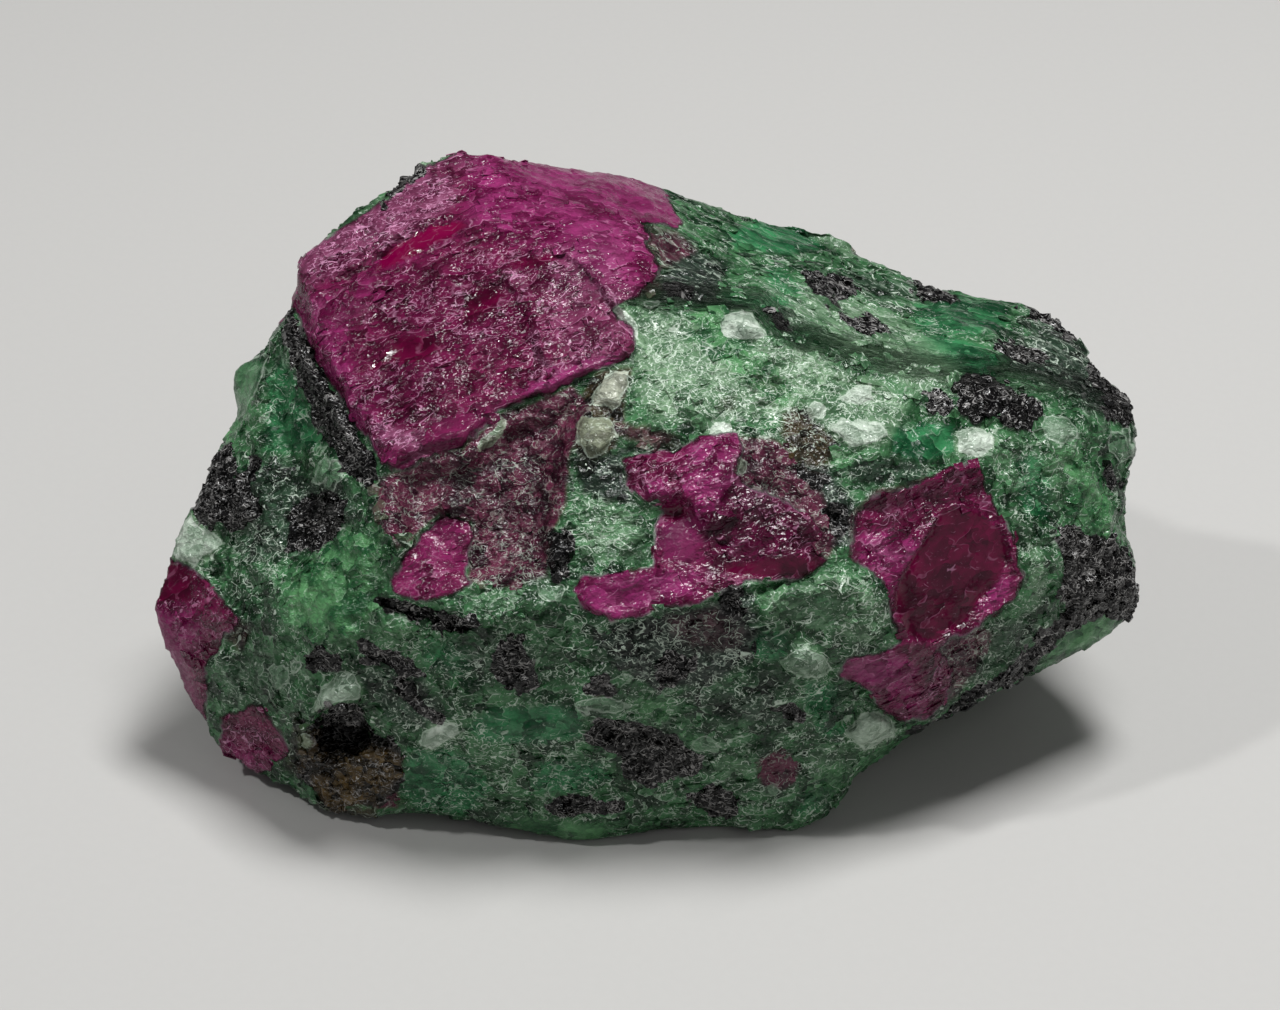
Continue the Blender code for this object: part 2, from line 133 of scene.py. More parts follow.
# The black crystals and specks, and black painted as shade on a few faces, cracks and hollows.
HORNBLENDE = [
    [(-26.9, -0.4), (-26.2, 1.2), (-25.6, 2.8), (-24.9, 3.7), (-24.3, 3.0), (-24.2, 1.6), (-23.4, 3.0),
     (-22.9, 2.6), (-22.8, 0.4), (-22.9, -0.8), (-24.4, -1.6), (-25.2, -1.2), (-26.2, -1.5)],
    [(-21.0, -2.7), (-20.9, -0.4), (-20.3, 0.3), (-19.6, 0.9), (-18.4, 0.8), (-17.6, 0.4), (-17.7, -1.2),
     (-18.6, -2.2), (-19.8, -2.9)],
    # the dark face along the crown: black that stands for the painted shade of this steep face
    [(-21.5, 10.6), (-20.9, 11.8), (-20.1, 10.0), (-19.1, 8.2), (-18.1, 6.4), (-17.1, 4.8), (-15.9, 3.0),
     (-15.6, 1.4), (-16.9, 1.0), (-18.2, 2.8), (-19.2, 4.4), (-19.8, 6.0), (-20.6, 7.6), (-21.2, 9.2)],
    # the ledge: black as the painted shade in its crack
    [(-16.0, -5.7), (-15.2, -5.3), (-13.8, -5.7), (-12.4, -6.4), (-10.4, -6.8), (-8.8, -7.0),
     (-10.2, -7.5), (-12.0, -7.4), (-13.6, -6.8), (-15.0, -6.3)],
    [(-20.4, -9.2), (-19.2, -8.4), (-18.2, -8.9), (-17.9, -9.7), (-19.0, -10.0), (-20.0, -9.8)],
    [(-17.5, -8.1), (-16.2, -8.0), (-14.8, -8.9), (-13.6, -9.6), (-12.8, -10.2), (-14.0, -10.4),
     (-15.6, -9.8), (-16.7, -9.0)],
    [(-14.8, -10.5), (-13.6, -10.8), (-11.9, -12.7), (-12.4, -13.1), (-13.6, -12.0)],
    [(-9.1, -10.0), (-8.9, -9.0), (-8.2, -8.1), (-7.2, -8.1), (-6.8, -8.9), (-6.2, -9.4), (-6.0, -10.8),
     (-7.2, -11.2), (-8.4, -11.1)],
    [(-3.6, -11.0), (-2.6, -10.4), (-1.3, -10.6), (-1.3, -11.1), (-2.6, -11.5)],
    [(0.9, -9.6), (2.0, -8.8), (3.6, -9.2), (3.0, -10.2), (2.2, -11.0), (1.2, -11.1)],
    [(4.8, -5.0), (6.2, -5.2), (6.4, -6.6), (5.6, -7.0), (4.8, -6.4)],
    [(-3.5, -13.6), (-2.6, -12.8), (-1.0, -12.9), (0.6, -13.2), (1.4, -13.9), (2.2, -13.8), (2.9, -14.7),
     (3.8, -15.2), (3.6, -16.2), (2.0, -16.4), (0.6, -16.9), (-0.8, -16.4), (-1.1, -15.2), (-2.2, -14.4),
     (-3.2, -14.3)],
    [(2.9, -17.4), (4.0, -16.9), (5.4, -17.2), (6.4, -18.1), (5.6, -18.7), (3.8, -18.6), (3.0, -18.1)],
    [(-6.1, -18.0), (-4.8, -17.5), (-3.0, -17.6), (-1.0, -17.8), (-1.6, -18.4), (-3.6, -18.7),
     (-5.6, -18.6)],
    # round the pit: black crystals, and black as the painted shade in the pit's hollow
    [(-20.0, -13.7), (-19.3, -12.6), (-18.2, -11.9), (-17.0, -12.0), (-16.4, -12.8), (-15.9, -13.8),
     (-14.6, -14.0), (-14.1, -15.4), (-14.2, -17.0), (-15.4, -17.8), (-18.4, -18.4), (-19.4, -17.2),
     (-20.6, -15.9), (-20.4, -14.8), (-19.6, -14.6)],
    [(-5.5, -1.8), (-4.6, -1.4), (-3.9, -2.2), (-4.0, -3.0), (-4.4, -4.4), (-5.4, -4.2)],
    [(9.1, 2.6), (9.9, 2.8), (10.6, 2.0), (11.4, 1.4), (11.2, 0.6), (10.6, 0.4), (10.2, 1.4), (9.4, 1.8)],
    [(11.0, -0.4), (11.8, 0.3), (12.6, -0.2), (12.8, -1.2), (12.2, -2.2), (11.4, -1.8), (11.4, -1.0)],
    [(8.1, -12.2), (9.2, -11.8), (10.1, -12.3), (9.6, -12.9), (8.4, -12.7)],
    [(24.6, -1.6), (25.6, -1.1), (26.8, -1.6), (28.4, -1.9), (29.2, -2.9), (30.2, -4.6), (30.2, -7.2),
     (28.4, -6.9), (26.4, -6.2), (25.2, -5.6), (25.2, -4.4), (25.0, -3.0)],
    # the dark rim under the right end: black as the painted shadow along the ledge there
    [(29.8, -6.4), (27.2, -6.3), (25.6, -6.4), (24.6, -7.2), (23.4, -8.4), (21.8, -10.0), (20.4, -10.7),
     (18.8, -11.9), (17.2, -13.0), (15.8, -13.5), (16.4, -13.9), (19.6, -12.2), (22.4, -10.6),
     (24.6, -9.0), (25.4, -7.6), (27.6, -6.8)],
    [(16.7, 6.9), (17.4, 7.0), (18.8, 6.5), (18.9, 6.1), (18.3, 5.5), (17.6, 5.5), (16.9, 5.9)],
    [(19.0, 6.2), (19.0, 7.4), (19.6, 7.8), (21.3, 7.8), (21.8, 7.4), (22.4, 7.0), (24.5, 6.0),
     (24.4, 5.6), (23.2, 4.5), (21.9, 4.8), (21.0, 5.5), (20.2, 5.0), (19.4, 5.6)],
    [(9.4, 14.2), (10.6, 14.1), (12.2, 13.8), (13.2, 13.0), (12.6, 12.4), (11.4, 11.9), (10.4, 12.6),
     (10.0, 13.6)],
    [(11.9, 11.7), (12.8, 11.5), (14.0, 11.2), (14.8, 10.6), (14.6, 10.3), (13.6, 10.2), (12.6, 10.8)],
    [(15.6, 13.2), (16.6, 13.2), (18.0, 13.0), (19.2, 12.2), (18.6, 12.0), (16.8, 12.4)],
    [(21.0, 9.5), (22.2, 9.8), (23.6, 9.4), (24.6, 8.9), (24.2, 8.4), (22.6, 8.7)],
    [(22.4, 11.9), (23.6, 11.9), (25.0, 11.3), (26.2, 10.4), (25.6, 9.9), (24.6, 10.6)],
    [(26.8, 8.4), (27.6, 8.2), (28.6, 7.2), (30.0, 6.2), (30.0, 5.0), (28.4, 4.8), (27.8, 5.8),
     (27.8, 6.6), (27.0, 7.4)],
    [(27.7, 2.0), (28.5, 2.3), (28.9, 1.2), (28.5, 0.4), (27.9, 0.9)],
    [(7.6, 11.4), (8.6, 11.6), (9.4, 10.8), (8.6, 10.5)],
    [(-15.9, 18.1), (-14.9, 19.3), (-13.2, 20.8), (-12.8, 20.1), (-14.2, 18.9), (-15.2, 17.9)],
    [(1.2, 13.0), (2.2, 13.3), (3.2, 12.9), (3.0, 12.2), (1.6, 12.3)],
]
# Single clear grains with a pale rim.
GRAINS = [
    [(-18.9, -12.9), (-18.5, -12.7), (-18.2, -13.1), (-18.4, -13.5), (-18.8, -13.4)],
    [(-18.0, -13.4), (-17.6, -13.2), (-17.1, -13.5), (-17.3, -13.9), (-17.9, -13.8)],
    [(-18.7, -14.1), (-18.2, -13.8), (-17.9, -14.1), (-18.3, -14.4)],
    [(4.8, 10.8), (5.2, 11.4), (6.0, 11.7), (6.8, 11.4), (7.3, 10.6), (7.7, 10.2), (6.4, 9.9),
     (5.2, 10.2)],
    [(11.5, 4.6), (12.2, 5.1), (13.4, 5.0), (14.4, 4.8), (14.9, 4.2), (14.0, 3.6), (12.8, 3.6)],
    [(9.9, 5.7), (10.4, 6.1), (11.0, 6.1), (11.0, 5.4), (10.2, 5.2)],
    [(11.8, 6.3), (12.6, 7.2), (13.8, 7.2), (14.0, 6.3), (12.8, 6.0)],
    [(19.0, 4.4), (20.2, 4.6), (21.2, 4.3), (21.2, 3.5), (20.0, 2.9), (19.1, 3.2)],
    [(23.9, 4.7), (24.6, 5.3), (25.8, 5.0), (26.4, 4.0), (25.4, 3.6), (24.4, 4.0)],
    [(28.3, 4.4), (29.3, 4.7), (29.7, 3.2), (28.8, 2.4), (28.2, 3.2)],
    [(-28.4, -2.9), (-27.6, -1.6), (-26.9, -0.6), (-26.4, -1.4), (-25.6, -1.7), (-25.2, -2.4),
     (-26.2, -3.0), (-26.8, -3.6), (-27.6, -3.2)],
    [(-19.6, -12.3), (-18.8, -10.9), (-18.1, -10.1), (-17.3, -10.0), (-16.7, -10.9), (-16.8, -11.8),
     (-17.6, -11.7), (-18.8, -12.1)],
    [(-13.3, -14.1), (-12.8, -13.5), (-12.0, -13.1), (-11.2, -13.2), (-10.6, -13.7), (-11.6, -14.1),
     (-12.4, -14.6)],
    [(8.4, -9.5), (9.2, -8.9), (10.0, -8.5), (10.9, -9.2), (11.6, -9.9), (11.0, -10.4), (9.2, -10.1)],
    [(12.4, -13.7), (13.2, -12.6), (14.2, -12.3), (15.2, -12.9), (15.5, -13.7), (14.4, -14.4),
     (13.4, -14.7)],
    [(-2.9, 6.1), (-2.2, 7.8), (-0.6, 8.3), (-0.8, 7.2), (-1.3, 6.0), (-1.6, 5.8)],
    [(-4.0, 4.2), (-3.4, 5.2), (-1.8, 5.0), (-1.4, 4.2), (-2.0, 3.2), (-3.2, 2.8)],
    [(-2.6, 13.1), (-2.0, 13.3), (-1.2, 12.2), (-0.2, 10.8), (-0.2, 9.7), (-0.7, 10.2), (-1.6, 11.4)],
    [(3.7, 4.4), (4.0, 4.8), (4.9, 5.1), (5.9, 4.8), (5.8, 4.4), (4.7, 4.2)],
    [(5.3, 2.8), (5.5, 2.9), (6.4, 2.6), (6.2, 2.0), (5.7, 1.7)],
    [(-24.6, 8.2), (-23.6, 8.9), (-22.4, 9.0), (-22.6, 7.6), (-23.4, 6.2), (-24.0, 5.1), (-24.6, 5.4)],
    [(-19.7, 1.4), (-19.2, 2.6), (-18.8, 2.8), (-18.7, 2.0), (-19.3, 1.1)],
    [(-18.7, 2.0), (-18.5, 2.7), (-17.9, 2.3), (-17.8, 1.6), (-18.4, 0.8), (-19.0, 0.8)],
    [(-6.3, -4.6), (-5.6, -4.2), (-4.6, -5.0), (-4.9, -5.7), (-6.2, -5.6)],
    [(-4.2, -12.0), (-2.8, -11.5), (-1.2, -11.6), (-0.6, -12.2), (-1.6, -12.7), (-3.2, -12.7)],
    [(2.9, -14.6), (3.6, -14.0), (4.4, -14.0), (4.8, -14.8), (3.6, -14.9)],
    [(-22.6, -9.8), (-21.4, -9.5), (-20.9, -10.6), (-21.8, -11.0)],
    [(-20.4, -13.8), (-19.8, -13.7), (-19.3, -14.3), (-19.8, -14.9), (-20.4, -14.6)],
    [(-20.2, -9.2), (-20.3, -9.8), (-20.9, -10.1), (-20.9, -9.4)],
    [(-9.9, 3.3), (-9.0, 4.4), (-8.4, 5.4), (-8.0, 5.0), (-8.8, 3.8), (-9.6, 3.1)],
    [(7.2, -16.9), (8.0, -16.7), (8.4, -17.2), (7.4, -17.4)],
    [(0.1, 12.3), (1.4, 12.4), (1.2, 11.8), (0.2, 11.9)],
]
# Soft stretches of one tint: how strong, how wide its edge, and its outline.
PALE = [
    (1.0, 0.4, [(-19.2, -12.7), (-18.3, -12.4), (-16.9, -13.2), (-17.2, -14.2), (-18.9, -14.6)]),
    (0.85, 1.4, [(0.0, 12.2), (2.2, 11.2), (4.6, 10.8), (7.6, 9.8), (10.4, 9.4), (12.0, 8.2), (14.4, 7.4),
     (16.0, 6.0), (15.2, 4.2), (13.4, 3.8), (11.0, 4.4), (9.6, 5.6), (6.4, 5.4), (3.6, 5.2), (0.8, 5.0),
     (-0.2, 7.0), (-0.2, 10.0)]),
    (1.0, 0.4, [(4.7, 10.8), (5.3, 11.7), (6.4, 11.8), (7.8, 10.0), (6.4, 9.7), (5.0, 10.2)]),
    (0.9, 0.8, [(11.0, 4.6), (12.2, 5.4), (15.2, 5.0), (15.0, 3.6), (12.8, 3.3)]),
    (0.9, 0.8, [(11.2, 7.2), (12.6, 7.6), (14.2, 7.4), (14.2, 6.0), (11.6, 6.0)]),
    (1.0, 0.4, [(3.5, 4.4), (4.2, 5.2), (6.0, 5.0), (6.0, 4.4), (4.6, 4.1)]),
    (0.8, 0.4, [(18.8, 4.4), (20.4, 4.8), (21.5, 4.2), (21.2, 3.3), (20.0, 2.7), (18.9, 3.0)]),
    (0.75, 0.5, [(-28.6, -3.3), (-27.8, -1.4), (-26.8, -0.4), (-25.2, -1.7), (-25.0, -2.6),
     (-26.6, -3.8)]),
    (0.6, 0.6, [(-19.8, -12.6), (-18.6, -10.4), (-17.3, -9.8), (-16.5, -10.8), (-16.6, -11.9),
     (-18.2, -12.2)]),
    (0.8, 0.4, [(-13.5, -14.2), (-12.4, -13.0), (-11.2, -13.0), (-10.4, -13.7), (-11.6, -14.4),
     (-12.6, -14.8)]),
    (0.5, 0.6, [(8.2, -9.6), (9.2, -8.3), (10.2, -8.0), (11.1, -9.0), (11.8, -10.0), (10.2, -10.6)]),
    (0.6, 0.6, [(12.2, -13.9), (13.2, -12.3), (14.6, -12.2), (15.7, -13.6), (14.6, -14.7),
     (13.2, -14.9)]),
    (0.7, 0.8, [(-13.4, 19.9), (-11.6, 20.1), (-9.4, 20.5), (-9.4, 22.0), (-14.0, 22.0)]),
    (0.7, 0.4, [(-3.0, 6.0), (-2.3, 8.1), (-0.4, 8.5), (-1.1, 5.6)]),
    (0.4, 0.6, [(-4.2, 4.2), (-3.4, 5.5), (-1.5, 5.3), (-1.2, 4.2), (-2.0, 2.8), (-3.2, 2.4)]),
    (0.95, 0.3, [(-2.7, 13.2), (-2.0, 13.4), (0.0, 10.8), (-0.1, 9.6), (-0.8, 10.2)]),
    (0.5, 0.6, [(3.0, 18.9), (4.6, 18.6), (7.2, 17.8), (8.4, 17.0), (6.4, 17.0), (4.4, 17.6),
     (3.2, 18.1)]),
    (0.5, 0.5, [(8.8, 17.4), (10.4, 17.0), (12.4, 16.0), (13.8, 15.0), (12.4, 15.0), (10.0, 16.0)]),
    (0.5, 0.4, [(0.4, 19.4), (1.6, 18.6), (2.8, 16.8), (2.4, 16.4), (1.6, 17.8), (0.2, 18.9)]),
    (0.45, 0.9, [(21.6, 0.0), (22.6, -1.6), (23.2, -3.2), (23.2, -5.2), (23.9, -6.4), (24.4, -5.0),
     (24.2, -2.0), (23.0, -0.8)]),
    (0.3, 1.0, [(7.0, -5.4), (9.0, -4.7), (12.0, -3.8), (14.0, -4.4), (14.8, -6.0), (14.0, -8.6),
     (11.8, -8.0), (8.0, -7.0)]),
    (0.4, 1.0, [(-3.6, 0.6), (-1.6, 0.2), (0.2, -0.6), (0.6, -3.2), (-1.6, -3.7), (-3.8, -3.0)]),
    (0.5, 0.9, [(23.8, 5.2), (25.8, 5.0), (26.6, 4.0), (24.6, 3.4)]),
    (0.4, 0.8, [(-4.2, -12.2), (-2.8, -11.4), (-0.6, -11.4), (0.0, -12.4), (-1.8, -12.8)]),
    (0.35, 1.0, [(4.0, -15.2), (5.4, -14.8), (6.8, -15.2), (6.8, -16.4), (5.6, -16.9), (4.2, -16.4)]),
    (0.35, 1.0, [(10.0, -15.2), (12.2, -14.0), (13.4, -14.8), (12.0, -17.0), (10.4, -16.8)]),
    (0.3, 0.8, [(-10.4, -5.6), (-8.0, -4.8), (-5.6, -4.2), (-4.4, -5.2), (-5.8, -6.2), (-8.4, -7.0),
     (-10.2, -6.4)]),
    (0.45, 1.2, [(7.0, -5.4), (9.0, -4.7), (12.0, -3.8), (14.6, -5.2), (15.2, -7.0), (14.0, -8.6),
     (11.8, -8.0), (8.0, -7.0)]),
    (0.6, 2.0, [(10.0, 13.4), (15.0, 12.0), (19.4, 8.4), (18.4, 5.4), (15.6, 7.0), (11.6, 9.6),
     (8.6, 11.0)]),
    (0.3, 1.6, [(20.4, 3.0), (22.2, 4.6), (25.4, 5.2), (26.8, 3.0), (25.4, -1.0), (22.6, 0.4)]),
    # bruised ruby
    (0.5, 1.8, [(-5.4, 15.2), (-1.4, 16.0), (-0.4, 12.6), (-0.6, 9.4), (-3.4, 8.4), (-5.6, 10.2)]),
    (0.7, 0.8, [(-20.6, 13.6), (-20.2, 15.6), (-17.4, 17.2), (-13.4, 20.2), (-11.2, 19.8), (-11.2, 18.0),
     (-13.6, 16.6), (-15.8, 15.2), (-17.4, 14.4), (-19.4, 13.2)]),
    (1.0, 0.5, [(-16.4, 5.1), (-15.0, 4.8), (-13.2, 3.9), (-13.4, 3.2), (-15.0, 3.3), (-16.0, 4.0)]),
    (0.9, 0.3, [(-6.7, 10.4), (-6.2, 10.4), (-5.8, 9.0), (-5.0, 8.2), (-5.4, 8.0), (-6.4, 9.0)]),
    (0.9, 0.3, [(-6.6, 8.2), (-6.0, 8.3), (-5.5, 7.5), (-6.0, 7.3)]),
    (0.7, 0.3, [(-5.0, 9.9), (-3.6, 9.9), (-2.8, 9.2), (-3.4, 9.0), (-4.6, 9.5)]),
    (0.6, 0.5, [(-4.6, 10.2), (-2.6, 10.3), (-2.4, 10.0), (-4.4, 9.9)]),
    (0.5, 1.0, [(-20.4, 12.2), (-17.6, 12.2), (-16.2, 12.0), (-16.2, 11.2), (-19.4, 11.4)]),
    (0.6, 0.5, [(-8.4, 13.9), (-7.4, 13.3), (-6.6, 12.8), (-7.2, 13.9)]),
    (0.4, 0.6, [(5.4, 3.2), (7.4, 3.8), (9.0, 2.4), (8.2, 0.8), (7.4, -0.8), (6.2, 0.2), (5.4, 1.6)]),
    (0.6, 0.5, [(13.8, -2.2), (15.2, -2.4), (16.6, -2.8), (16.2, -3.6), (14.4, -3.0)]),
]
FRESH_GREEN = [
    (1.0, 0.6, [(3.0, 11.4), (4.0, 11.9), (5.4, 11.2), (7.2, 9.2), (9.0, 7.2), (10.0, 6.2), (9.4, 5.8),
     (7.6, 7.0), (5.4, 9.0)]),
    (1.0, 1.6, [(-20.9, -4.8), (-19.6, -3.2), (-17.6, -1.4), (-15.8, -1.2), (-15.4, -3.6), (-16.4, -5.2),
     (-15.6, -6.2), (-17.4, -7.8), (-19.4, -8.1), (-21.0, -6.8)]),
    (0.9, 0.9, [(2.4, 10.6), (4.8, 10.4), (6.4, 9.2), (7.8, 7.8), (9.8, 6.2), (8.6, 5.9), (6.6, 7.2),
     (5.2, 8.4), (3.2, 9.6)]),
    (0.8, 0.8, [(-24.8, 8.4), (-23.4, 8.8), (-22.4, 8.6), (-23.2, 6.4), (-24.0, 5.0), (-24.4, 3.2),
     (-25.0, 4.2)]),
    (0.8, 0.9, [(24.6, 3.4), (26.4, 3.2), (27.4, 2.2), (28.4, -0.4), (28.6, -1.6), (26.6, -1.2),
     (25.6, -0.2), (25.8, 1.6)]),
    (0.3, 1.6, [(-25.0, -8.8), (-22.4, -7.8), (-20.6, -9.0), (-20.8, -12.2), (-24.0, -12.0)]),
    (0.6, 1.0, [(-0.8, -11.4), (1.6, -11.4), (2.4, -12.4), (1.2, -13.2), (-0.6, -12.8)]),
    (0.9, 0.7, [(24.8, -8.6), (25.8, -7.2), (27.4, -6.6), (29.2, -6.9), (28.0, -7.8), (26.4, -8.6),
     (24.6, -9.2)]),
    (0.6, 1.0, [(10.4, -15.4), (13.2, -15.0), (12.4, -17.0), (10.8, -18.6), (10.2, -17.4)]),
    (0.7, 0.8, [(2.0, -13.0), (4.0, -13.6), (3.6, -15.0), (2.4, -14.4)]),
    (0.7, 0.9, [(-9.0, -18.8), (-6.2, -18.6), (-1.8, -19.2), (-2.8, -20.4), (-6.6, -20.0)]),
    (0.5, 1.2, [(-16.8, -6.6), (-13.6, -7.2), (-12.8, -8.2), (-15.6, -8.0)]),
    (0.5, 0.8, [(-18.8, -8.0), (-17.6, -8.2), (-17.4, -9.2), (-18.4, -8.8)]),
    (0.5, 0.9, [(11.0, 3.6), (13.0, 3.6), (14.6, 3.0), (12.4, 2.2), (10.8, 2.6)]),
]
# Smooth deep green pools, high on the right, under it and along the top edge. They are waxy too.
UPPER_POOL = [(16.0, 9.8), (17.6, 10.2), (20.0, 9.8), (21.6, 8.6), (20.6, 7.9), (18.6, 8.1), (16.6, 8.8)]
MIDDLE_POOL = [(15.0, 4.6), (17.4, 5.0), (18.9, 4.9), (19.0, 3.2), (17.4, 2.8), (15.2, 3.0)]
TOP_POOL = [(5.2, 16.4), (7.2, 17.1), (9.8, 16.6), (11.0, 15.4), (8.8, 15.1), (5.8, 15.4)]
EMERALD = [
    (0.9, 0.9, UPPER_POOL),
    (0.95, 0.7, MIDDLE_POOL),
    (0.5, 0.6, [(13.0, 8.8), (15.0, 8.7), (15.2, 8.2), (13.8, 8.1)]),
    (0.7, 1.0, [(-13.9, -14.6), (-11.8, -14.4), (-10.0, -15.2), (-9.0, -17.0), (-10.0, -18.6),
     (-13.4, -18.4), (-14.4, -17.0)]),
    (0.95, 0.9, [(-9.0, -12.2), (-5.4, -12.0), (-3.6, -12.6), (-3.6, -13.8), (-6.0, -14.4), (-9.4, -14.2),
     (-10.2, -13.2)]),
    (0.7, 1.2, [(-6.2, -15.4), (-2.4, -15.2), (-1.4, -16.8), (-4.0, -17.3), (-7.0, -17.2)]),
    (0.8, 1.0, [(22.6, 3.0), (24.2, 2.8), (24.6, 0.6), (24.8, -1.0), (23.2, -0.6), (22.6, 1.0)]),
    (0.6, 1.2, [(-22.6, 6.8), (-21.6, 9.2), (-20.6, 8.0), (-19.4, 5.2), (-18.6, 3.6), (-20.6, 3.0),
     (-22.6, 3.2)]),
    (0.8, 0.8, TOP_POOL),
    (0.6, 1.0, [(7.6, 14.4), (8.8, 14.2), (9.8, 13.0), (10.2, 12.4), (8.4, 12.6), (7.4, 13.6)]),
    (0.65, 1.2, [(16.4, 12.0), (19.2, 12.6), (21.8, 12.2), (22.2, 10.6), (19.6, 10.0), (16.6, 10.2)]),
    (0.55, 1.2, [(4.6, 12.8), (9.0, 12.6), (9.8, 11.8), (5.0, 12.0)]),
    (0.5, 1.2, [(9.8, 12.0), (11.6, 11.8), (12.2, 10.4), (9.6, 10.0)]),
    (0.5, 1.4, [(-13.4, -8.4), (-10.8, -8.0), (-9.6, -9.6), (-10.4, -11.0), (-13.0, -9.8)]),
    (0.8, 0.9, [(6.8, -7.6), (8.8, -7.6), (8.8, -9.2), (7.4, -9.6), (6.6, -8.8)]),
    (0.7, 0.9, [(9.8, -10.4), (12.0, -10.8), (12.2, -12.4), (10.6, -13.0), (9.8, -12.0)]),
    (0.6, 0.8, [(10.2, -12.9), (12.4, -13.2), (12.0, -14.4), (10.4, -13.8)]),
    (0.5, 1.0, [(8.4, -6.0), (11.0, -5.0), (12.6, -6.0), (11.6, -7.6), (9.0, -7.0)]),
    (0.6, 1.0, [(9.6, -17.2), (11.6, -16.8), (11.4, -18.4), (9.4, -18.8)]),
]
MAUVE = [
    (1.0, 0.8, [(-15.6, 1.6), (-14.2, 2.0), (-12.6, 3.0), (-10.5, 3.3), (-8.8, 5.3), (-6.5, 6.0),
     (-4.0, 7.2), (-3.0, 6.0), (-4.2, 3.2), (-4.6, 0.4), (-5.2, -1.6), (-5.6, -4.4), (-9.0, -5.0),
     (-10.4, -4.6), (-10.0, -1.0), (-12.0, -0.4), (-14.4, -2.6), (-15.8, -1.0)]),
    (0.9, 0.9, [(5.8, 4.2), (8.2, 3.8), (9.2, 2.6), (11.0, 0.6), (12.0, -1.6), (11.4, -3.2), (7.0, -3.2),
     (5.6, 0.2)]),
    (0.8, 0.8, [(12.6, -0.8), (14.0, 0.8), (17.2, 1.6), (16.0, -0.2), (14.2, -1.4), (12.9, -2.6)]),
    (0.8, 1.0, [(17.6, -8.2), (20.2, -7.2), (21.2, -7.8), (20.2, -9.6), (19.0, -11.4), (17.0, -12.8),
     (16.6, -10.4)]),
    (1.0, 0.5, [(7.0, -15.8), (7.6, -14.8), (9.0, -14.9), (9.6, -15.8), (9.0, -16.9), (7.4, -16.8)]),
    (0.6, 1.0, [(0.2, 16.8), (2.2, 16.4), (3.4, 15.2), (1.6, 14.2), (0.2, 15.4)]),
    (0.5, 0.8, [(-0.4, 13.8), (1.4, 14.0), (1.4, 12.8), (-0.2, 12.4)]),
    (0.45, 1.0, [(1.4, -6.6), (4.6, -6.0), (6.4, -7.4), (6.2, -8.6), (3.6, -8.8), (1.6, -8.0)]),
    (0.6, 0.8, [(-4.6, 3.6), (-1.2, 4.2), (0.4, 3.6), (2.6, 3.4), (2.2, 4.4), (-1.2, 5.0)]),
    (0.7, 0.4, [(-16.4, -17.4), (-15.4, -16.6), (-14.4, -16.8), (-14.6, -18.3), (-16.0, -18.2)]),
    (0.6, 0.5, [(-3.4, -11.2), (-2.4, -10.6), (-1.2, -10.8), (-2.4, -11.6)]),
    (0.5, 0.8, [(-25.4, -7.6), (-24.2, -6.6), (-23.2, -7.4), (-24.2, -9.0)]),
]
BROWN = [
    (1.0, 0.9, [(-19.4, -15.2), (-17.0, -14.9), (-15.2, -14.6), (-14.2, -15.4), (-14.9, -17.0),
     (-16.4, -18.0), (-19.4, -18.2)]),
    (0.8, 0.6, [(-4.2, 5.6), (-2.6, 8.0), (-0.4, 8.3), (-1.0, 5.4), (-1.4, 3.4), (-3.2, 2.4),
     (-4.2, 3.6)]),
    (0.9, 1.0, [(8.6, 5.6), (9.8, 6.0), (10.8, 4.8), (12.0, 3.6), (11.0, 2.2), (9.0, 2.8), (8.4, 4.2)]),
    (0.6, 0.8, [(-12.6, 2.0), (-11.2, 3.0), (-9.4, 2.2), (-10.0, 0.8), (-12.0, 0.6)]),
    (0.5, 0.8, [(-15.4, 1.6), (-13.6, 2.2), (-12.4, 1.4), (-15.2, 0.6)]),
    (0.6, 0.5, [(-20.8, -12.6), (-19.8, -13.0), (-19.2, -14.4), (-20.4, -16.4), (-21.4, -15.8)]),
    (0.7, 0.4, [(-19.4, -17.6), (-17.6, -18.2), (-15.8, -18.0), (-15.8, -19.0), (-18.6, -19.0)]),
    (0.5, 0.8, [(4.6, 6.6), (5.8, 6.8), (6.0, 5.6), (4.8, 5.4)]),
    (0.6, 0.4, [(-10.2, 3.0), (-8.6, 4.2), (-8.0, 5.6), (-7.6, 4.8), (-9.2, 3.0)]),
    (0.4, 0.8, [(6.2, 8.2), (8.0, 7.8), (9.4, 6.4), (7.6, 6.8)]),
]
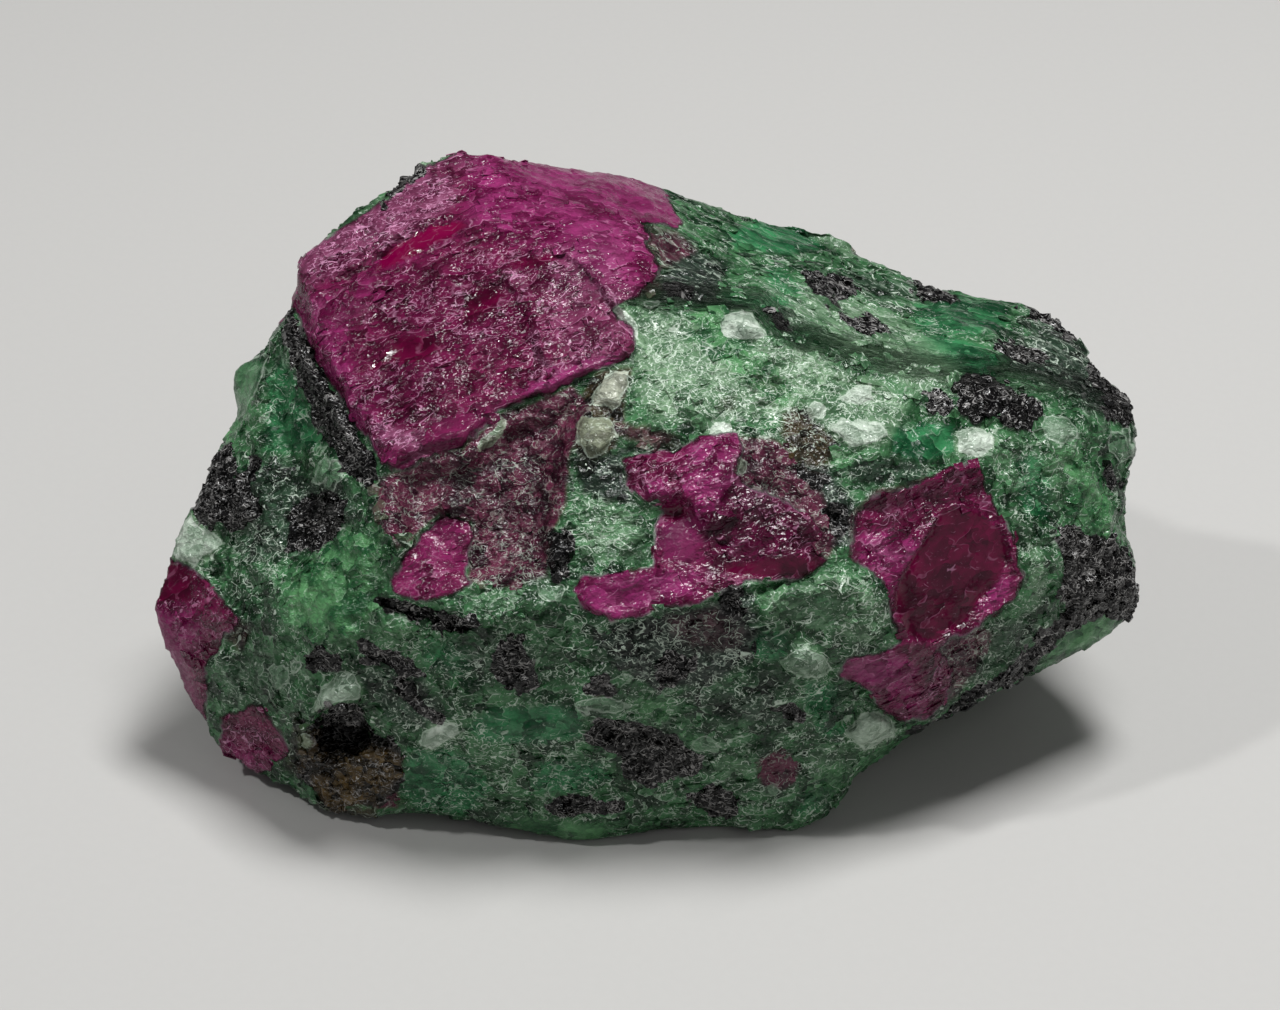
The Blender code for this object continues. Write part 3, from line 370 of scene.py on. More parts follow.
DARK = [
    (1.0, 1.0, [(4.6, 1.2), (7.0, 1.6), (9.0, 0.8), (10.8, -2.0), (8.4, -3.6), (5.4, -3.6), (3.8, -2.2)]),
    (0.6, 0.7, [(-29.6, -3.4), (-28.2, -3.8), (-27.0, -5.4), (-28.0, -6.6), (-29.4, -5.8)]),
    (0.7, 0.9, [(7.0, -15.0), (8.4, -14.4), (9.6, -15.2), (9.4, -16.8), (8.0, -17.2), (6.9, -16.4)]),
    (0.85, 1.2, [(-3.0, -7.4), (0.0, -6.8), (2.6, -6.4), (6.6, -5.2), (7.2, -7.0), (6.6, -9.4),
     (4.0, -11.0), (0.8, -11.2), (-0.8, -10.0), (-2.6, -9.0)]),
    (0.6, 1.6, [(-23.2, 2.6), (-21.4, 3.0), (-19.8, 1.8), (-17.4, 1.4), (-16.4, -1.0), (-20.8, -3.4),
     (-24.6, -3.4), (-24.2, -1.4)]),
    (0.75, 1.2, [(0.2, 16.6), (2.4, 16.2), (4.0, 15.0), (5.6, 14.4), (5.0, 13.4), (4.6, 12.0),
     (0.8, 12.2), (1.4, 14.2)]),
    (0.8, 0.9, [(9.2, 3.4), (10.6, 2.8), (12.0, 1.4), (13.2, -0.4), (12.8, -2.6), (11.2, -2.8),
     (10.4, -0.4), (9.2, 1.6)]),
    (0.75, 1.0, [(-4.2, 3.0), (-1.0, 3.6), (0.6, 3.6), (-1.0, 2.8), (-0.6, 1.0), (0.2, -0.2),
     (-3.6, 0.6)]),
    (0.65, 1.6, [(22.0, 12.4), (26.6, 10.2), (30.0, 5.0), (27.6, 5.2), (25.0, 7.0), (22.0, 8.0),
     (21.0, 9.8), (23.2, 10.2)]),
    (0.55, 1.2, [(10.0, 14.4), (14.4, 13.8), (19.6, 13.2), (18.0, 12.0), (14.4, 12.2), (13.0, 12.8)]),
    (0.5, 1.0, [(15.4, 10.4), (13.0, 12.2), (11.0, 12.0), (12.0, 11.0), (14.0, 10.0)]),
    (0.6, 1.2, [(-18.2, -10.0), (-15.8, -9.8), (-13.0, -10.2), (-11.2, -12.6), (-13.0, -13.6),
     (-15.8, -13.0), (-16.4, -11.0)]),
    (0.5, 1.4, [(-12.6, -8.0), (-9.0, -7.6), (-5.8, -8.4), (-5.8, -11.0), (-9.6, -11.2), (-10.4, -9.6)]),
    (0.55, 1.2, [(2.2, -11.2), (8.0, -10.4), (8.4, -11.6), (10.0, -12.4), (8.6, -13.4), (5.0, -13.0),
     (2.6, -12.2)]),
    (0.5, 1.2, [(18.4, -8.4), (21.6, -7.0), (24.6, -6.4), (24.0, -8.0), (21.4, -10.0), (19.0, -11.4)]),
    (0.6, 0.8, [(7.0, 12.0), (9.4, 11.8), (10.2, 10.4), (8.4, 10.4)]),
    (0.6, 0.8, [(13.4, 3.0), (17.4, 2.6), (17.6, 1.6), (13.6, 1.0), (11.8, 1.8)]),
    (0.4, 1.0, [(-24.6, -4.4), (-22.0, -4.0), (-21.2, -7.4), (-24.0, -8.4), (-25.2, -6.4)]),
    (0.5, 0.7, [(-10.6, -18.4), (-7.8, -18.0), (-8.2, -19.2), (-10.4, -19.0)]),
    (0.55, 1.4, [(-25.2, -9.0), (-22.8, -8.4), (-20.6, -9.4), (-20.4, -11.6), (-21.4, -12.4),
     (-24.6, -11.8)]),
    # darker ruby
    (0.8, 1.2, [(-17.2, 7.8), (-14.5, 8.6), (-12.0, 8.9), (-11.2, 7.2), (-12.0, 5.4), (-13.4, 4.4),
     (-15.4, 5.2), (-16.8, 6.4)]),
    (0.7, 1.4, [(-15.8, 13.6), (-13.0, 14.2), (-11.6, 13.0), (-11.6, 11.0), (-14.0, 10.4),
     (-15.8, 11.4)]),
    (0.6, 1.6, [(-11.6, 14.2), (-8.4, 14.6), (-6.0, 14.2), (-6.2, 11.0), (-8.6, 8.8), (-11.4, 10.0)]),
    (0.5, 1.2, [(-7.6, 14.6), (-3.4, 14.6), (-2.4, 13.0), (-6.4, 12.6)]),
    (0.8, 0.8, [(3.8, -1.6), (5.6, -1.8), (6.4, -3.2), (5.2, -5.0), (3.8, -4.4), (4.2, -3.0)]),
    (0.6, 0.8, [(-9.9, -1.0), (-7.6, -0.6), (-5.8, -1.6), (-6.2, -4.4), (-10.0, -4.6)]),
    (0.7, 0.6, [(-23.9, -13.0), (-22.9, -13.0), (-22.5, -14.2), (-23.7, -14.2)]),
    (0.5, 0.9, [(17.4, -9.0), (19.0, -8.6), (19.0, -11.0), (17.0, -11.4), (16.6, -9.8)]),
]
PINK = [
    (1.0, 0.4, STREAK),
    (0.9, 1.6, [(-10.4, 21.6), (-10.2, 17.4), (-8.6, 16.4), (-5.2, 15.4), (-3.6, 14.6), (-2.4, 13.4),
     (-0.2, 12.9), (0.8, 15.0), (0.2, 17.0), (2.4, 17.0), (0.4, 20.0)]),
    (0.9, 0.6, [(-6.9, 6.4), (-4.0, 7.6), (-0.6, 8.9), (-1.6, 9.1), (-2.4, 8.9), (-4.0, 8.5), (-5.2, 7.9),
     (-6.9, 7.1)]),
    (0.4, 0.9, [(-13.6, -3.0), (-12.8, -1.6), (-11.8, -0.7), (-10.6, -0.9), (-10.2, -2.0), (-10.8, -4.0),
     (-12.6, -4.4)]),
    (0.4, 0.8, [(-14.9, -4.8), (-13.6, -3.2), (-12.4, -4.4), (-10.6, -4.6), (-12.4, -5.6),
     (-14.6, -5.4)]),
    (1.0, 1.0, [(-4.1, -5.2), (-1.2, -4.2), (1.4, -4.0), (3.8, -4.0), (3.4, -5.4), (0.4, -6.2),
     (-1.5, -6.9), (-3.4, -6.2)]),
    (0.9, 0.9, [(2.8, 3.2), (3.6, 4.4), (6.1, 4.4), (5.6, 2.6), (5.4, 0.4), (5.0, -1.2), (3.8, -1.4),
     (3.2, 0.2), (2.6, 1.2)]),
    (0.7, 0.6, [(0.0, 1.0), (1.4, 1.3), (1.9, 0.6), (0.8, 0.1)]),
    (0.9, 0.8, [(13.2, -1.8), (15.2, -1.6), (16.8, -2.2), (16.4, -3.6), (14.8, -4.0), (13.4, -3.6)]),
    (0.6, 0.9, [(14.6, -4.0), (15.6, -3.8), (15.8, -6.0), (14.9, -5.8)]),
    (0.9, 0.8, [(12.0, -10.2), (13.0, -9.3), (15.6, -9.0), (16.6, -9.8), (16.0, -11.6), (14.0, -11.0)]),
    (0.5, 1.0, [(14.4, -11.8), (16.6, -11.4), (17.8, -12.0), (16.0, -12.9)]),
    (0.7, 1.0, [(-29.8, -6.0), (-27.2, -6.0), (-26.0, -7.4), (-26.6, -9.0), (-27.4, -9.6),
     (-28.6, -8.6)]),
    (0.6, 0.8, [(-25.0, -13.8), (-23.6, -14.8), (-21.0, -15.0), (-23.0, -16.6), (-25.2, -15.2)]),
    (0.7, 1.2, [(-20.9, 12.6), (-20.0, 9.8), (-18.0, 6.2), (-15.5, 2.4), (-14.6, 3.0), (-16.6, 6.4),
     (-17.6, 9.6), (-17.2, 12.2)]),
    (0.5, 1.2, [(-20.0, 12.4), (-18.0, 12.8), (-16.0, 14.2), (-15.8, 12.4), (-17.6, 11.8)]),
    (0.9, 0.8, [(20.4, -6.4), (21.6, -6.2), (22.4, -4.6), (21.8, -4.4), (20.6, -5.6)]),
    (0.7, 0.6, [(-22.3, 10.4), (-21.3, 11.0), (-20.7, 12.4), (-20.9, 13.2), (-22.0, 12.6)]),
]
# Where the break is smooth and waxy.
WAXY = [
    (0.4, 0.8, [(-15.2, 2.0), (-14.0, 2.0), (-12.6, 3.0), (-10.4, 3.5), (-9.2, 4.8), (-8.6, 5.9),
     (-10.2, 6.0), (-12.4, 4.8), (-14.0, 3.2)]),
    (0.4, 0.7, [(-8.7, 5.8), (-6.6, 6.2), (-4.0, 7.5), (-1.0, 8.6), (-2.4, 9.0), (-4.8, 8.0), (-6.8, 7.0),
     (-8.6, 6.6)]),
    (0.7, 1.4, [(-7.4, 21.0), (-6.6, 19.2), (-3.6, 18.6), (-0.8, 18.2), (0.4, 17.2), (2.6, 16.4),
     (2.4, 19.0), (-2.0, 21.0)]),
    (0.5, 1.2, [(-4.4, 17.2), (-1.6, 16.6), (-1.4, 14.2), (-3.0, 13.8), (-4.4, 15.4)]),
    (0.9, 0.8, [(1.2, -1.0), (3.0, -0.6), (3.8, -2.0), (3.6, -3.4), (1.4, -3.4), (1.1, -2.2)]),
    (0.6, 0.9, [(-4.1, -5.2), (-1.2, -4.4), (3.6, -4.2), (2.0, -5.6), (-1.5, -6.8)]),
    (0.3, 0.8, [(-13.4, -2.6), (-11.8, -0.9), (-10.4, -1.4), (-11.0, -3.6), (-12.6, -3.6)]),
    (0.9, 0.6, [(-29.8, -6.4), (-28.3, -6.6), (-27.6, -8.6), (-26.6, -10.8), (-26.0, -12.8),
     (-28.0, -12.2), (-30.0, -9.0)]),
    (0.9, 0.5, [(24.8, -8.6), (25.8, -7.3), (27.6, -6.6), (29.2, -6.9), (28.0, -7.9), (26.4, -8.8),
     (24.0, -10.2)]),
    (0.8, 0.6, [(12.0, -17.4), (13.0, -15.8), (15.0, -14.4), (17.4, -13.4), (24.0, -10.0), (20.0, -12.4),
     (14.0, -16.4)]),
    (0.8, 0.6, [(-9.0, -19.0), (-6.0, -18.8), (-1.8, -19.3), (-2.8, -20.6), (-6.6, -20.2)]),
    (0.6, 0.6, TOP_POOL),
    (0.7, 0.7, UPPER_POOL),
    (0.7, 0.7, MIDDLE_POOL),
    (0.6, 1.0, [(16.8, 12.0), (19.2, 12.8), (21.8, 12.4), (22.2, 10.8), (19.6, 10.2)]),
    (0.7, 0.7, [(3.0, 18.9), (4.6, 18.6), (7.2, 17.8), (10.4, 17.0), (13.8, 15.0), (12.4, 15.0),
     (8.4, 16.8), (3.2, 18.0)]),
    (0.7, 0.8, [(-9.0, -12.2), (-5.4, -12.0), (-3.6, -12.6), (-3.6, -13.6), (-6.0, -14.0),
     (-9.4, -13.6)]),
    (0.6, 1.0, [(-24.8, 8.4), (-23.4, 8.8), (-22.4, 8.6), (-23.2, 6.4), (-24.0, 5.0), (-25.0, 5.0)]),
    (0.5, 1.2, [(-20.6, -6.6), (-19.0, -4.8), (-17.2, -4.8), (-16.4, -5.8), (-18.0, -7.0),
     (-20.0, -7.8)]),
    (0.6, 0.8, [(-13.6, -14.8), (-12.0, -14.8), (-11.4, -16.2), (-12.6, -17.6), (-14.0, -16.8)]),
    (0.5, 0.8, [(-22.4, 4.6), (-20.8, 5.2), (-19.4, 5.0), (-19.0, 3.6), (-20.6, 3.4)]),
    (0.6, 0.6, [(12.6, -9.4), (14.2, -9.2), (15.0, -10.2), (14.2, -10.6), (12.8, -10.2)]),
]
# Where it is thick with bright broken edges: pale frost with painted highlights and glints.
GLITTER = [
    (0.45, 1.6, [(-14.0, -6.6), (-5.0, -5.8), (3.0, -7.0), (10.0, -5.4), (13.4, -8.0), (14.0, -14.0),
     (8.0, -18.6), (-4.0, -19.6), (-14.0, -18.4), (-15.6, -12.0)]),
    (0.8, 0.8, [(-29.6, -3.4), (-28.0, -4.0), (-26.4, -6.0), (-24.6, -8.0), (-25.6, -9.6), (-27.4, -8.8),
     (-29.4, -6.6)]),
    (0.8, 0.7, [(-25.2, -13.6), (-23.6, -12.8), (-22.0, -13.4), (-21.2, -15.2), (-23.2, -16.2),
     (-25.0, -14.8)]),
    (1.0, 1.0, [(0.2, 12.2), (2.6, 10.2), (5.0, 8.4), (7.8, 9.6), (10.2, 8.8), (12.4, 7.8), (15.4, 6.6),
     (15.0, 3.8), (13.0, 3.5), (10.6, 4.6), (9.0, 5.0), (6.4, 5.2), (3.6, 5.4), (1.0, 6.4)]),
    (0.9, 0.8, [(-20.4, 13.4), (-19.6, 15.6), (-17.0, 17.0), (-13.4, 20.0), (-11.2, 19.8), (-11.2, 18.0),
     (-13.4, 16.6), (-15.8, 14.9), (-18.0, 14.0)]),
    (0.9, 1.2, [(-17.0, 8.4), (-12.0, 8.8), (-11.2, 6.6), (-12.8, 4.4), (-13.4, 3.2), (-15.6, 3.6),
     (-17.0, 5.6), (-18.2, 7.4)]),
    (0.8, 1.6, [(-15.8, 14.0), (-10.0, 15.6), (-5.4, 15.2), (-3.6, 13.2), (-6.4, 9.6), (-9.4, 8.8),
     (-11.6, 10.2), (-15.4, 10.6)]),
    (0.9, 0.8, [(-6.8, 10.6), (-4.4, 10.6), (-2.4, 9.8), (-4.6, 8.0), (-6.8, 7.4)]),
    (0.9, 0.8, [(-10.2, -0.8), (-7.2, -0.2), (-5.6, -1.4), (-5.8, -4.6), (-10.4, -4.8)]),
    (0.6, 1.0, [(-15.4, 1.6), (-9.0, 3.6), (-5.0, 3.0), (-5.0, 0.0), (-10.0, -0.6), (-15.0, -1.0)]),
    (0.4, 0.8, [(6.0, 4.0), (8.6, 3.6), (10.4, 1.0), (11.2, -2.8), (7.2, -3.0), (5.6, -1.4), (6.2, 1.0)]),
    (0.9, 0.7, [(-0.8, 3.0), (2.4, 3.2), (2.6, 1.0), (1.0, 0.0), (-0.6, 1.2)]),
    (0.8, 0.8, [(13.2, -0.4), (17.0, 0.2), (17.4, -1.4), (16.4, -3.4), (14.0, -3.8), (13.0, -2.0)]),
    (0.8, 1.0, [(17.6, -8.4), (20.4, -6.6), (21.6, -7.2), (20.6, -9.6), (18.6, -11.6), (16.4, -12.6),
     (16.6, -10.0)]),
    (0.8, 1.2, [(-3.0, -7.2), (2.6, -6.6), (6.4, -6.6), (6.8, -9.6), (1.2, -11.0), (-4.6, -11.0),
     (-5.4, -9.0)]),
    (0.6, 1.2, [(-9.6, -13.6), (-4.6, -13.8), (-1.6, -14.6), (-1.8, -17.0), (-8.6, -17.6),
     (-9.8, -16.0)]),
    (0.7, 0.9, [(-3.5, -13.4), (1.0, -13.2), (3.8, -15.2), (3.4, -17.0), (-1.0, -16.6), (-1.8, -14.6)]),
    (0.8, 0.9, [(24.6, -1.6), (28.4, -2.0), (30.0, -4.6), (29.6, -6.8), (25.6, -6.2), (25.0, -3.0)]),
    (0.7, 1.0, [(21.8, 0.2), (23.6, 0.4), (24.6, -2.0), (24.6, -6.0), (23.4, -5.6), (23.0, -3.0)]),
    (0.6, 1.0, [(-24.4, -0.8), (-21.2, -0.6), (-21.2, -3.8), (-23.0, -6.4), (-24.6, -5.0),
     (-24.6, -2.0)]),
    (0.7, 1.0, [(12.0, -4.4), (14.6, -5.0), (15.4, -8.2), (13.4, -9.0), (12.0, -7.6)]),
    (0.6, 1.0, [(7.0, -15.0), (9.6, -15.0), (9.6, -17.0), (7.2, -17.0)]),
    (0.6, 1.0, [(12.4, -13.8), (13.4, -12.4), (15.6, -13.2), (15.0, -14.6), (12.8, -14.8)]),
    (0.5, 1.0, [(22.0, 12.2), (25.6, 10.6), (28.0, 7.6), (26.0, 6.8), (22.6, 8.6)]),
    (0.6, 0.8, [(-13.6, -7.2), (-12.4, -7.4), (-13.0, -8.6), (-14.6, -8.2)]),
    (0.6, 1.0, [(-8.9, -8.2), (-6.4, -8.2), (-6.0, -10.8), (-8.6, -11.0)]),
]
# Steps of the break: how high the left side of each line stands, how far it fades, and its run.
STEPS = [
    # the crown: the streak under its upper strip, the lens, the crease, the chips by the lower corner
    (0.55, 1.6, [(-19.2, 12.9), (-16.4, 14.3), (-14.2, 15.9), (-12.0, 16.9), (-10.2, 17.3)]),
    (-0.3, 1.2, [(-16.0, 13.6), (-14.0, 14.4), (-12.0, 15.3), (-10.2, 16.4)]),
    (0.4, 2.0, [(-8.8, 14.0), (-7.0, 15.1), (-5.0, 15.3), (-3.8, 14.4), (-2.6, 13.3), (-1.2, 11.2),
     (-0.3, 9.6)]),
    (0.3, 1.4, [(-10.9, 11.8), (-9.8, 13.2), (-8.2, 13.5), (-7.4, 12.4), (-6.6, 10.6), (-5.4, 8.2)]),
    (-0.25, 0.9, [(-5.0, 9.7), (-3.8, 9.5), (-2.8, 9.3)]),
    (0.3, 0.9, [(-6.8, 10.3), (-6.2, 9.2), (-5.2, 8.1)]),
    (-0.35, 1.2, [(-8.8, 5.7), (-6.8, 6.7), (-4.6, 7.8), (-2.6, 8.6), (-0.6, 9.4)]),
    # the wedge and the ledge under it
    (0.4, 1.2, [(-15.2, -4.6), (-13.6, -2.4), (-11.8, -0.5), (-10.2, -0.6)]),
    (-0.3, 0.8, [(-10.4, -0.8), (-9.8, -2.0), (-10.4, -3.6), (-10.4, -4.8)]),
    (0.8, 1.6, [(-16.4, -5.5), (-14.6, -5.7), (-12.8, -6.5), (-10.6, -7.2), (-8.6, -7.2), (-6.4, -6.4),
     (-4.4, -5.6)]),
    (0.35, 1.0, [(-10.4, -5.4), (-8.0, -4.8), (-5.8, -4.2)]),
    # the centre
    (0.5, 1.4, [(-4.2, -5.2), (-2.8, -6.4), (-1.2, -7.1), (1.6, -6.5), (4.6, -5.6), (7.6, -4.9),
     (10.4, -4.2), (11.6, -3.3)]),
    (0.35, 0.9, [(-0.6, 1.4), (-0.1, 0.3), (0.8, -0.1), (1.8, 0.2), (2.4, 1.0)]),
    (0.3, 0.9, [(2.6, 0.6), (3.4, -0.2), (3.8, -1.5), (5.2, -1.2)]),
    (-0.3, 1.0, [(3.4, 4.4), (4.6, 4.6), (6.0, 4.4)]),
    # the right ruby
    (0.45, 1.6, [(17.2, -8.7), (19.0, -8.0), (20.8, -7.0), (22.4, -5.8), (22.9, -4.2), (22.3, -1.6),
     (21.3, 0.0)]),
    (0.4, 1.4, [(20.8, 1.4), (20.2, 2.8), (18.4, 2.3), (17.0, 1.5)]),
    (-0.3, 1.0, [(18.6, -7.8), (19.4, -6.8), (20.4, -5.8), (21.6, -4.8)]),
    (0.25, 1.0, [(15.2, -6.4), (15.2, -5.2), (16.2, -3.6), (17.2, -1.8), (18.4, -0.2)]),
    # the green tooth below it
    (-0.5, 1.4, [(6.8, -5.7), (8.6, -4.9), (10.6, -4.3), (11.6, -3.4)]),
    (0.3, 1.0, [(8.2, -9.6), (9.2, -10.3), (10.8, -10.6), (11.7, -10.0)]),
    (0.3, 1.0, [(12.2, -10.5), (13.4, -10.9), (14.2, -12.0), (15.8, -13.2)]),
    # the rim of the plateau and the slope behind it
    (-0.4, 1.6, [(7.6, 10.2), (10.4, 9.7), (13.0, 9.0), (15.2, 8.5), (18.0, 8.2), (19.4, 7.9)]),
    (-0.35, 1.4, [(15.4, 10.4), (16.4, 9.4), (18.2, 8.9), (20.6, 8.2)]),
    (-0.4, 1.2, [(4.0, 18.2), (6.2, 17.2), (9.0, 16.8), (11.4, 15.6), (13.4, 14.8)]),
    (-0.35, 1.2, [(2.2, 14.9), (4.8, 15.6), (8.4, 15.0), (12.0, 14.4), (14.6, 13.6)]),
    (-0.3, 1.2, [(4.6, 13.6), (7.6, 13.8), (9.8, 12.6)]),
    (-0.35, 1.2, [(11.4, 11.8), (13.0, 12.0), (15.2, 10.8), (17.0, 10.4)]),
    (-0.3, 1.2, [(18.8, 12.2), (20.8, 11.2), (22.6, 10.4), (24.8, 9.8)]),
    (-0.35, 1.4, [(26.2, 4.6), (27.4, 2.0), (28.6, -0.6), (29.2, -2.2)]),
    (-0.3, 1.0, [(10.0, 6.4), (11.4, 7.4), (13.4, 7.4)]),
    (0.3, 1.0, [(11.2, 4.6), (12.8, 3.5), (14.2, 3.5), (15.0, 4.2)]),
    # the dark face along the crown and the left flank
    (0.6, 1.0, [(-15.8, 2.2), (-17.2, 4.6), (-18.8, 7.2), (-20.2, 10.0), (-20.8, 12.0)]),
    (-0.4, 1.2, [(-16.4, 1.2), (-18.2, 3.6), (-19.4, 6.2), (-20.6, 8.8)]),
    (-0.4, 1.0, [(-24.2, 4.8), (-23.0, 6.6), (-22.4, 8.4), (-21.8, 9.8)]),
    (0.3, 1.0, [(-19.8, 1.2), (-19.0, 0.7), (-17.8, 1.2), (-17.6, 2.0)]),
    (0.35, 1.0, [(-28.4, -3.3), (-27.2, -3.4), (-26.4, -3.2), (-25.2, -2.6)]),
    (-0.35, 1.2, [(-26.2, -3.8), (-25.0, -5.6), (-24.0, -6.8), (-25.2, -8.8)]),
    # the pit
    (0.9, 1.2, [(-19.9, -13.6), (-19.0, -12.3), (-18.0, -11.8), (-16.8, -12.2)]),
    (-0.7, 1.0, [(-19.8, -14.9), (-18.2, -15.2), (-16.6, -14.9), (-15.6, -14.0)]),
    (0.4, 1.0, [(-13.4, -14.3), (-12.2, -14.8), (-10.8, -14.0)]),
    # the low front
    (0.35, 1.2, [(-4.2, -12.4), (-2.4, -12.9), (-0.6, -12.8)]),
    (0.4, 1.2, [(4.0, -14.0), (5.0, -14.6), (6.6, -15.0), (7.8, -14.9), (8.6, -14.2)]),
    (-0.4, 1.2, [(12.4, -13.8), (13.4, -12.3), (15.4, -13.0)]),
    (0.35, 1.2, [(-18.6, -8.2), (-16.6, -7.8), (-14.0, -7.6), (-12.6, -7.4)]),
    (0.5, 1.0, [(15.6, -13.6), (18.8, -12.2), (21.6, -10.6), (24.2, -9.2), (25.2, -8.0), (26.4, -6.8),
     (28.6, -6.9)]),
]
# Where the break runs in long thin shingles down the slope.
SHINGLED = [
    (1.0, 2.0, [(-0.4, 12.8), (4.0, 12.4), (7.0, 12.2), (9.4, 10.2), (13.4, 9.0), (18.0, 8.2),
     (22.0, 8.0), (26.0, 7.2), (31.0, 5.0), (31.0, 14.0), (20.0, 20.0), (0.0, 22.0)]),
]
# Hollows: how deep, how wide their walls, and their outline.
HOLLOWS = [
    (1.3, 0.9, [(-19.7, -13.8), (-18.9, -13.0), (-17.2, -13.1), (-16.0, -13.6), (-15.5, -14.2),
     (-16.8, -14.8), (-18.6, -15.1), (-19.6, -14.7)]),
    (0.6, 0.35, [(-16.2, -5.8), (-14.8, -5.4), (-12.8, -6.3), (-10.4, -6.9), (-8.9, -7.1), (-10.8, -7.4),
     (-12.8, -7.2), (-14.8, -6.4)]),
    (0.5, 0.6, [(1.2, 0.0), (2.6, 0.2), (3.0, -0.6), (2.0, -1.1), (1.2, -0.8)]),
    (0.35, 0.6, [(4.2, -1.9), (5.6, -1.8), (6.0, -2.8), (4.8, -3.0)]),
    (0.3, 0.5, [(13.2, 8.7), (14.8, 8.6), (15.2, 8.2), (13.8, 8.1)]),
    (0.5, 0.8, [(-10.6, 12.0), (-9.8, 12.9), (-8.6, 13.2), (-8.3, 12.5), (-9.1, 11.6), (-10.2, 11.2)]),
    (0.3, 0.5, [(8.6, 5.6), (9.6, 6.1), (9.9, 5.5), (9.0, 5.1)]),
    (0.5, 0.7, [(11.1, -0.5), (11.8, 0.2), (12.6, -0.4), (12.6, -1.5), (11.5, -1.4)]),
    (0.4, 0.6, [(5.0, -5.2), (6.2, -5.4), (6.2, -6.4), (5.2, -6.4)]),
]

# ------------------------------------------------------------------ what grows where on the other sides

# Each crystal or stretch there: its middle and its half lengths, in millimetres, and how it is turned.
FAR_RUBY = [
    ((-6.0, 14.6, 20.0), (7.5, 4.0, 6.0), 20),
    ((12.0, 16.5, 15.0), (4.6, 3.0, 3.4), -30),
    ((27.5, 6.0, 16.5), (3.0, 4.0, 3.6), 15),
    ((-19.5, 8.0, 11.0), (3.6, 4.4, 4.6), 40),
    ((4.0, 14.5, 4.5), (4.2, 3.0, 3.0), 10),
    ((21.0, 9.0, 6.0), (3.6, 3.0, 2.6), -20),
    ((-14.0, 10.0, 2.5), (2.6, 3.0, 2.4), 0),
]
FAR_HORNBLENDE = [
    ((-14.0, 14.5, 19.0), (2.2, 2.0, 3.6), 25),
    ((3.0, 16.0, 18.5), (3.4, 2.0, 1.8), -15),
    ((20.0, 13.0, 17.5), (3.0, 2.4, 1.8), 10),
    ((18.0, 14.0, 10.5), (2.6, 2.0, 1.4), 35),
    ((-1.0, 16.0, 11.0), (1.8, 2.4, 3.2), 20),
    ((-9.5, 14.0, 9.5), (2.8, 2.4, 1.6), -30),
    ((9.0, 15.5, 8.0), (2.0, 2.0, 2.2), 0),
    ((27.5, 3.0, 11.5), (2.4, 2.4, 1.6), 20),
    ((28.5, -1.0, 19.0), (2.0, 2.6, 1.4), -20),
    ((-23.5, 4.0, 15.0), (2.4, 2.6, 1.6), 15),
    ((-22.0, 5.0, 5.0), (2.6, 2.4, 1.4), -10),
    ((-4.5, 12.5, 2.5), (2.8, 2.4, 1.4), 10),
    ((14.0, 11.0, 3.0), (2.2, 2.4, 1.2), 30),
    ((25.0, 9.5, 14.5), (1.4, 2.0, 2.4), 0),
    ((8.0, 11.0, 27.0), (2.4, 1.6, 1.6), 40),
    ((15.0, 6.0, 1.0), (4.0, 3.0, 2.0), 0),
    ((-8.0, -4.0, 0.0), (5.0, 3.4, 1.6), 20),
]
FAR_PALE = [
    ((-2.0, 15.0, 25.0), (5.0, 3.0, 2.2), 10),
    ((8.0, 16.5, 12.5), (3.0, 2.4, 1.8), 20),
    ((-17.0, 12.0, 6.0), (3.0, 3.0, 2.4), 0),
    ((23.0, 11.0, 9.5), (2.4, 2.4, 2.0), 10),
    ((-12.0, 12.5, 15.0), (2.0, 2.4, 2.8), 30),
    ((17.0, 10.0, 22.5), (4.0, 2.6, 2.0), -20),
    ((5.0, 3.0, 0.0), (7.0, 5.0, 1.6), 15),
]
FAR_GRAINS = [
    ((10.5, 15.5, 11.0), (1.2, 2.4, 0.9), 20),
    ((-3.5, 15.0, 15.5), (1.0, 2.4, 1.4), -10),
    ((-15.5, 12.0, 9.0), (1.3, 2.4, 1.0), 30),
    ((22.0, 12.0, 12.5), (0.9, 2.4, 1.3), 0),
    ((1.5, 13.5, 8.0), (1.4, 2.4, 0.9), -20),
    ((15.0, 13.5, 6.0), (1.1, 2.4, 0.8), 15),
    ((-22.0, 6.5, 9.0), (1.0, 2.4, 1.2), 0),
    ((28.0, 4.0, 6.5), (1.4, 2.2, 0.9), 10),
]
FAR_GREEN = [
    ((2.0, 15.5, 14.0), (9.0, 4.0, 5.0), 10),
    ((-18.0, 11.0, 14.0), (5.0, 4.0, 5.0), 0),
    ((24.0, 10.0, 12.0), (5.0, 5.0, 4.0), 0),
    ((-4.0, 13.0, 5.0), (7.0, 4.0, 3.0), 0),
]

# How far behind the first surface on the line of sight each mineral of the drawings reaches, and the tints.
ROOTS = {"ruby": 5.0, "hornblende": 2.4, "glassy": 3.0, "grain": 1.5}
TINT_ROOT = (2.0, 6.0)
# From how far behind it the stone counts as another side, and the relief of the drawn steps ends.
FAR_SIDE = (1.5, 4.0)
STEP_ROOT = (0.8, 2.4)
# How far off its border a mineral's depth is worked out.
BORDER_REACH = 3.0
# How far single minerals stray past their outline in small patches.
RAGGED = {"ruby": 0.2, "hornblende": 0.38, "grain": 0.22}
# The sizes of the waves in every border, and how far each strays.
BORDER_WANDER = [(1.9, 0.22), (0.6, 0.1)]
ROOT_STRAY = 3.0
FAR_STRAY = 2.0
